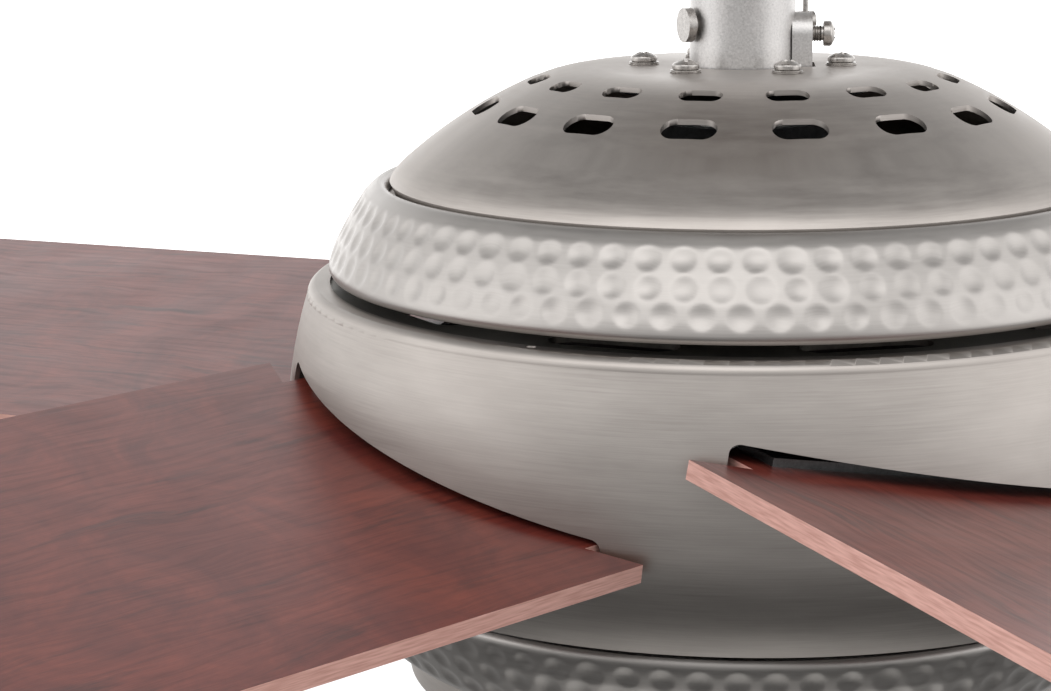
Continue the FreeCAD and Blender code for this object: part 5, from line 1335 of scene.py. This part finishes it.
@dataclass
class Studio:
    """Pale floor, soft lights and the camera.

    Attributes:
        eye_distance: Distance of the camera in front of the fan's axis.
        eye_rise: Height of the camera over the dome's top.
        yaw: Camera's turn about the upright, in degrees.
        pitch: How far it looks down, in degrees.
        roll: How far it leans, in degrees.
        lens: Focal length in millimetres.
        sensor: Sensor width in millimetres.
        floor_drop: Distance of the floor below the fan.
        floor_radius: Radius of the floor's disc.
        brightness: Strength of the light all round.
        side_level: Light from the far left and right.
        levels: Light at each angle over the front horizon, in degrees, round to the back.
    """

    eye_distance: float = 802.6 * MM
    eye_rise: float = 73.83 * MM
    yaw: float = -5.09
    pitch: float = 11.75
    roll: float = -0.59
    lens: float = 84.16
    sensor: float = 36.0
    floor_drop: float = 2.4
    floor_radius: float = 1.4
    brightness: float = 1.6
    side_level: float = 0.8
    levels: tuple[tuple[float, float], ...] = (
        (-179.0, 1.5), (-150.0, 0.3), (-95.0, 0.05), (-40.0, 0.06), (-15.0, 0.24), (2.0, 0.42),
        (22.0, 0.58), (50.0, 0.95), (74.0, 0.46), (100.0, 0.22), (130.0, 0.24), (152.0, 0.75),
        (179.0, 1.5))

    def camera(self) -> None:
        """Stands the camera in front of the motor, looking a little down."""
        data = bpy.data.cameras.new("view")
        data.lens = self.lens
        data.sensor_width = self.sensor
        data.clip_start = 0.05
        camera = bpy.data.objects.new("view", data)
        bpy.context.scene.collection.objects.link(camera)
        yaw, pitch, roll = (math.radians(angle) for angle in (self.yaw, self.pitch, self.roll))
        forward = Vector((math.sin(yaw) * math.cos(pitch), math.cos(yaw) * math.cos(pitch),
                          -math.sin(pitch)))
        level = Vector((math.cos(yaw), -math.sin(yaw), 0.0))
        over = level.cross(forward)
        right = math.cos(roll) * level + math.sin(roll) * over
        up = math.cos(roll) * over - math.sin(roll) * level
        turn = Matrix((right, up, -forward)).transposed().to_4x4()
        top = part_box("upper_dome")[1].z
        camera.matrix_world = Matrix.Translation((0.0, -self.eye_distance, top + self.eye_rise)) @ turn
        bpy.context.scene.camera = camera

    def softbox(self, name: str, place: tuple[float, float, float], size: tuple[float, float],
                watts: float, aim: tuple[float, float, float] = (0.0, 0.0, -0.3)) -> None:
        """Adds a soft rectangular light that the camera doesn't see.

        Args:
            name: Name of the light.
            place: Where it stands.
            size: Its width and height.
            watts: Its power.
            aim: The point that it faces.
        """
        data = bpy.data.lights.new(name, "AREA")
        data.shape = "RECTANGLE"
        data.size, data.size_y = size
        data.energy = watts
        light = bpy.data.objects.new(name, data)
        bpy.context.scene.collection.objects.link(light)
        light.location = place
        light.rotation_euler = (Vector(aim) - Vector(place)).to_track_quat("-Z", "Y").to_euler()
        light.visible_camera = False

    def world(self) -> None:
        """White behind the fan; light that changes with height and side everywhere else."""
        world = bpy.data.worlds.new("studio")
        bpy.context.scene.world = world
        world.use_nodes = True
        wire = Wiring(world.node_tree)
        backdrop = world.node_tree.nodes["Background"]
        split = wire.add("SeparateXYZ")
        wire.put(split.inputs[0], wire.add("TexCoord").outputs["Generated"])
        x, y, z = split.outputs
        turn = wire.math("ARCTAN2", z, wire.math("MULTIPLY", y, -1.0))
        share = wire.span(turn, -math.pi, math.pi, 0.0, 1.0)
        ramp = wire.add("ValToRGB")
        wire.put(ramp.inputs[0], share)
        stops = ramp.color_ramp.elements
        for degrees, level in self.levels:
            at = (degrees + 180.0) / 360.0
            stop = stops[0] if degrees == self.levels[0][0] else stops.new(at)
            stop.position = at
            stop.color = (level, level, level, 1.0)
        stops.remove(stops[-1])
        aside = wire.span(wire.math("ABSOLUTE", x), 0.45, 0.95, 0.0, 1.0)
        low = wire.span(z, -0.55, 0.0, 0.12, self.side_level)
        level = wire.mix(aside, ramp.outputs[0], low)
        grey = wire.math("MULTIPLY", level, self.brightness)
        seen = wire.add("LightPath").outputs["Is Camera Ray"]
        wire.put(backdrop.inputs["Strength"], wire.math("MAXIMUM", grey, seen))
        backdrop.inputs["Color"].default_value = (1.0, 1.0, 1.0, 1.0)

    def floor(self) -> None:
        """Pale disc of floor far below the fan."""
        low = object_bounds()[0].z
        top, under = low - self.floor_drop, low - self.floor_drop - 10.0 * MM
        steps = [(0.0, top), (self.floor_radius, top), (self.floor_radius, under), (0.0, under)]
        floor = bpy.data.objects.new("floor", revolve("floor", steps, 96))
        bpy.context.scene.collection.objects.link(floor)
        pale = Coated("pale_floor", "floor", dark=(0.72, 0.72, 0.71), light=(0.80, 0.80, 0.79),
                      roughness=0.8, grain_size=40.0, relief=0.02)
        floor.data.materials.append(pale.material())
        floor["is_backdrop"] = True

    def build(self) -> None:
        """Sets everything up."""
        self.camera()
        self.world()
        self.floor()
        self.softbox("left_box", (-1.9, -0.5, 0.3), (1.8, 2.0), 7.0)
        self.softbox("right_box", (1.9, -0.4, 0.3), (1.8, 2.0), 7.0)
        self.softbox("front_box", (-0.2, -1.7, 1.6), (2.2, 1.4), 10.0)
        bpy.context.scene.view_settings.view_transform = "Standard"


def main() -> None:
    """Builds every sub-assembly in order."""
    logging.basicConfig(level=logging.INFO, format="%(name)s: %(message)s")
    slots = {entry["node"]: entry["material_slot"] for entry in frame["record"]["subparts"]}
    plain = {node: SLOT_FINISH[slot] for node, slot in slots.items() if slot in SLOT_FINISH}
    PlainNodes(plain).dress()
    bodies = {node: Body(body) for body, nodes in frame["record"]["behaviour"]["bodies"].items()
              for node in nodes}
    Shells().build()
    arms = {f"blade_arm_{number}": 0.35 for number in range(1, 6)}
    EasedParts({"coupling_collar": 0.3, "clevis_pin": 0.4, "ceiling_bracket": 0.3, "pan_nut": 0.4,
                "run_capacitor": 1.2, "reverse_switch_case": 0.4, "reverse_switch_slider": 0.4,
                "canopy_trim_ring": 0.3, **arms}).build(bodies, plain)
    DomeScrews().build()
    SetScrew().build()
    HammeredBand("upper_hammered_band", True).build()
    HammeredBand("lower_hammered_band", False).build()
    Blades().build()
    Studio().build()


if __name__ == "__main__":
    main()
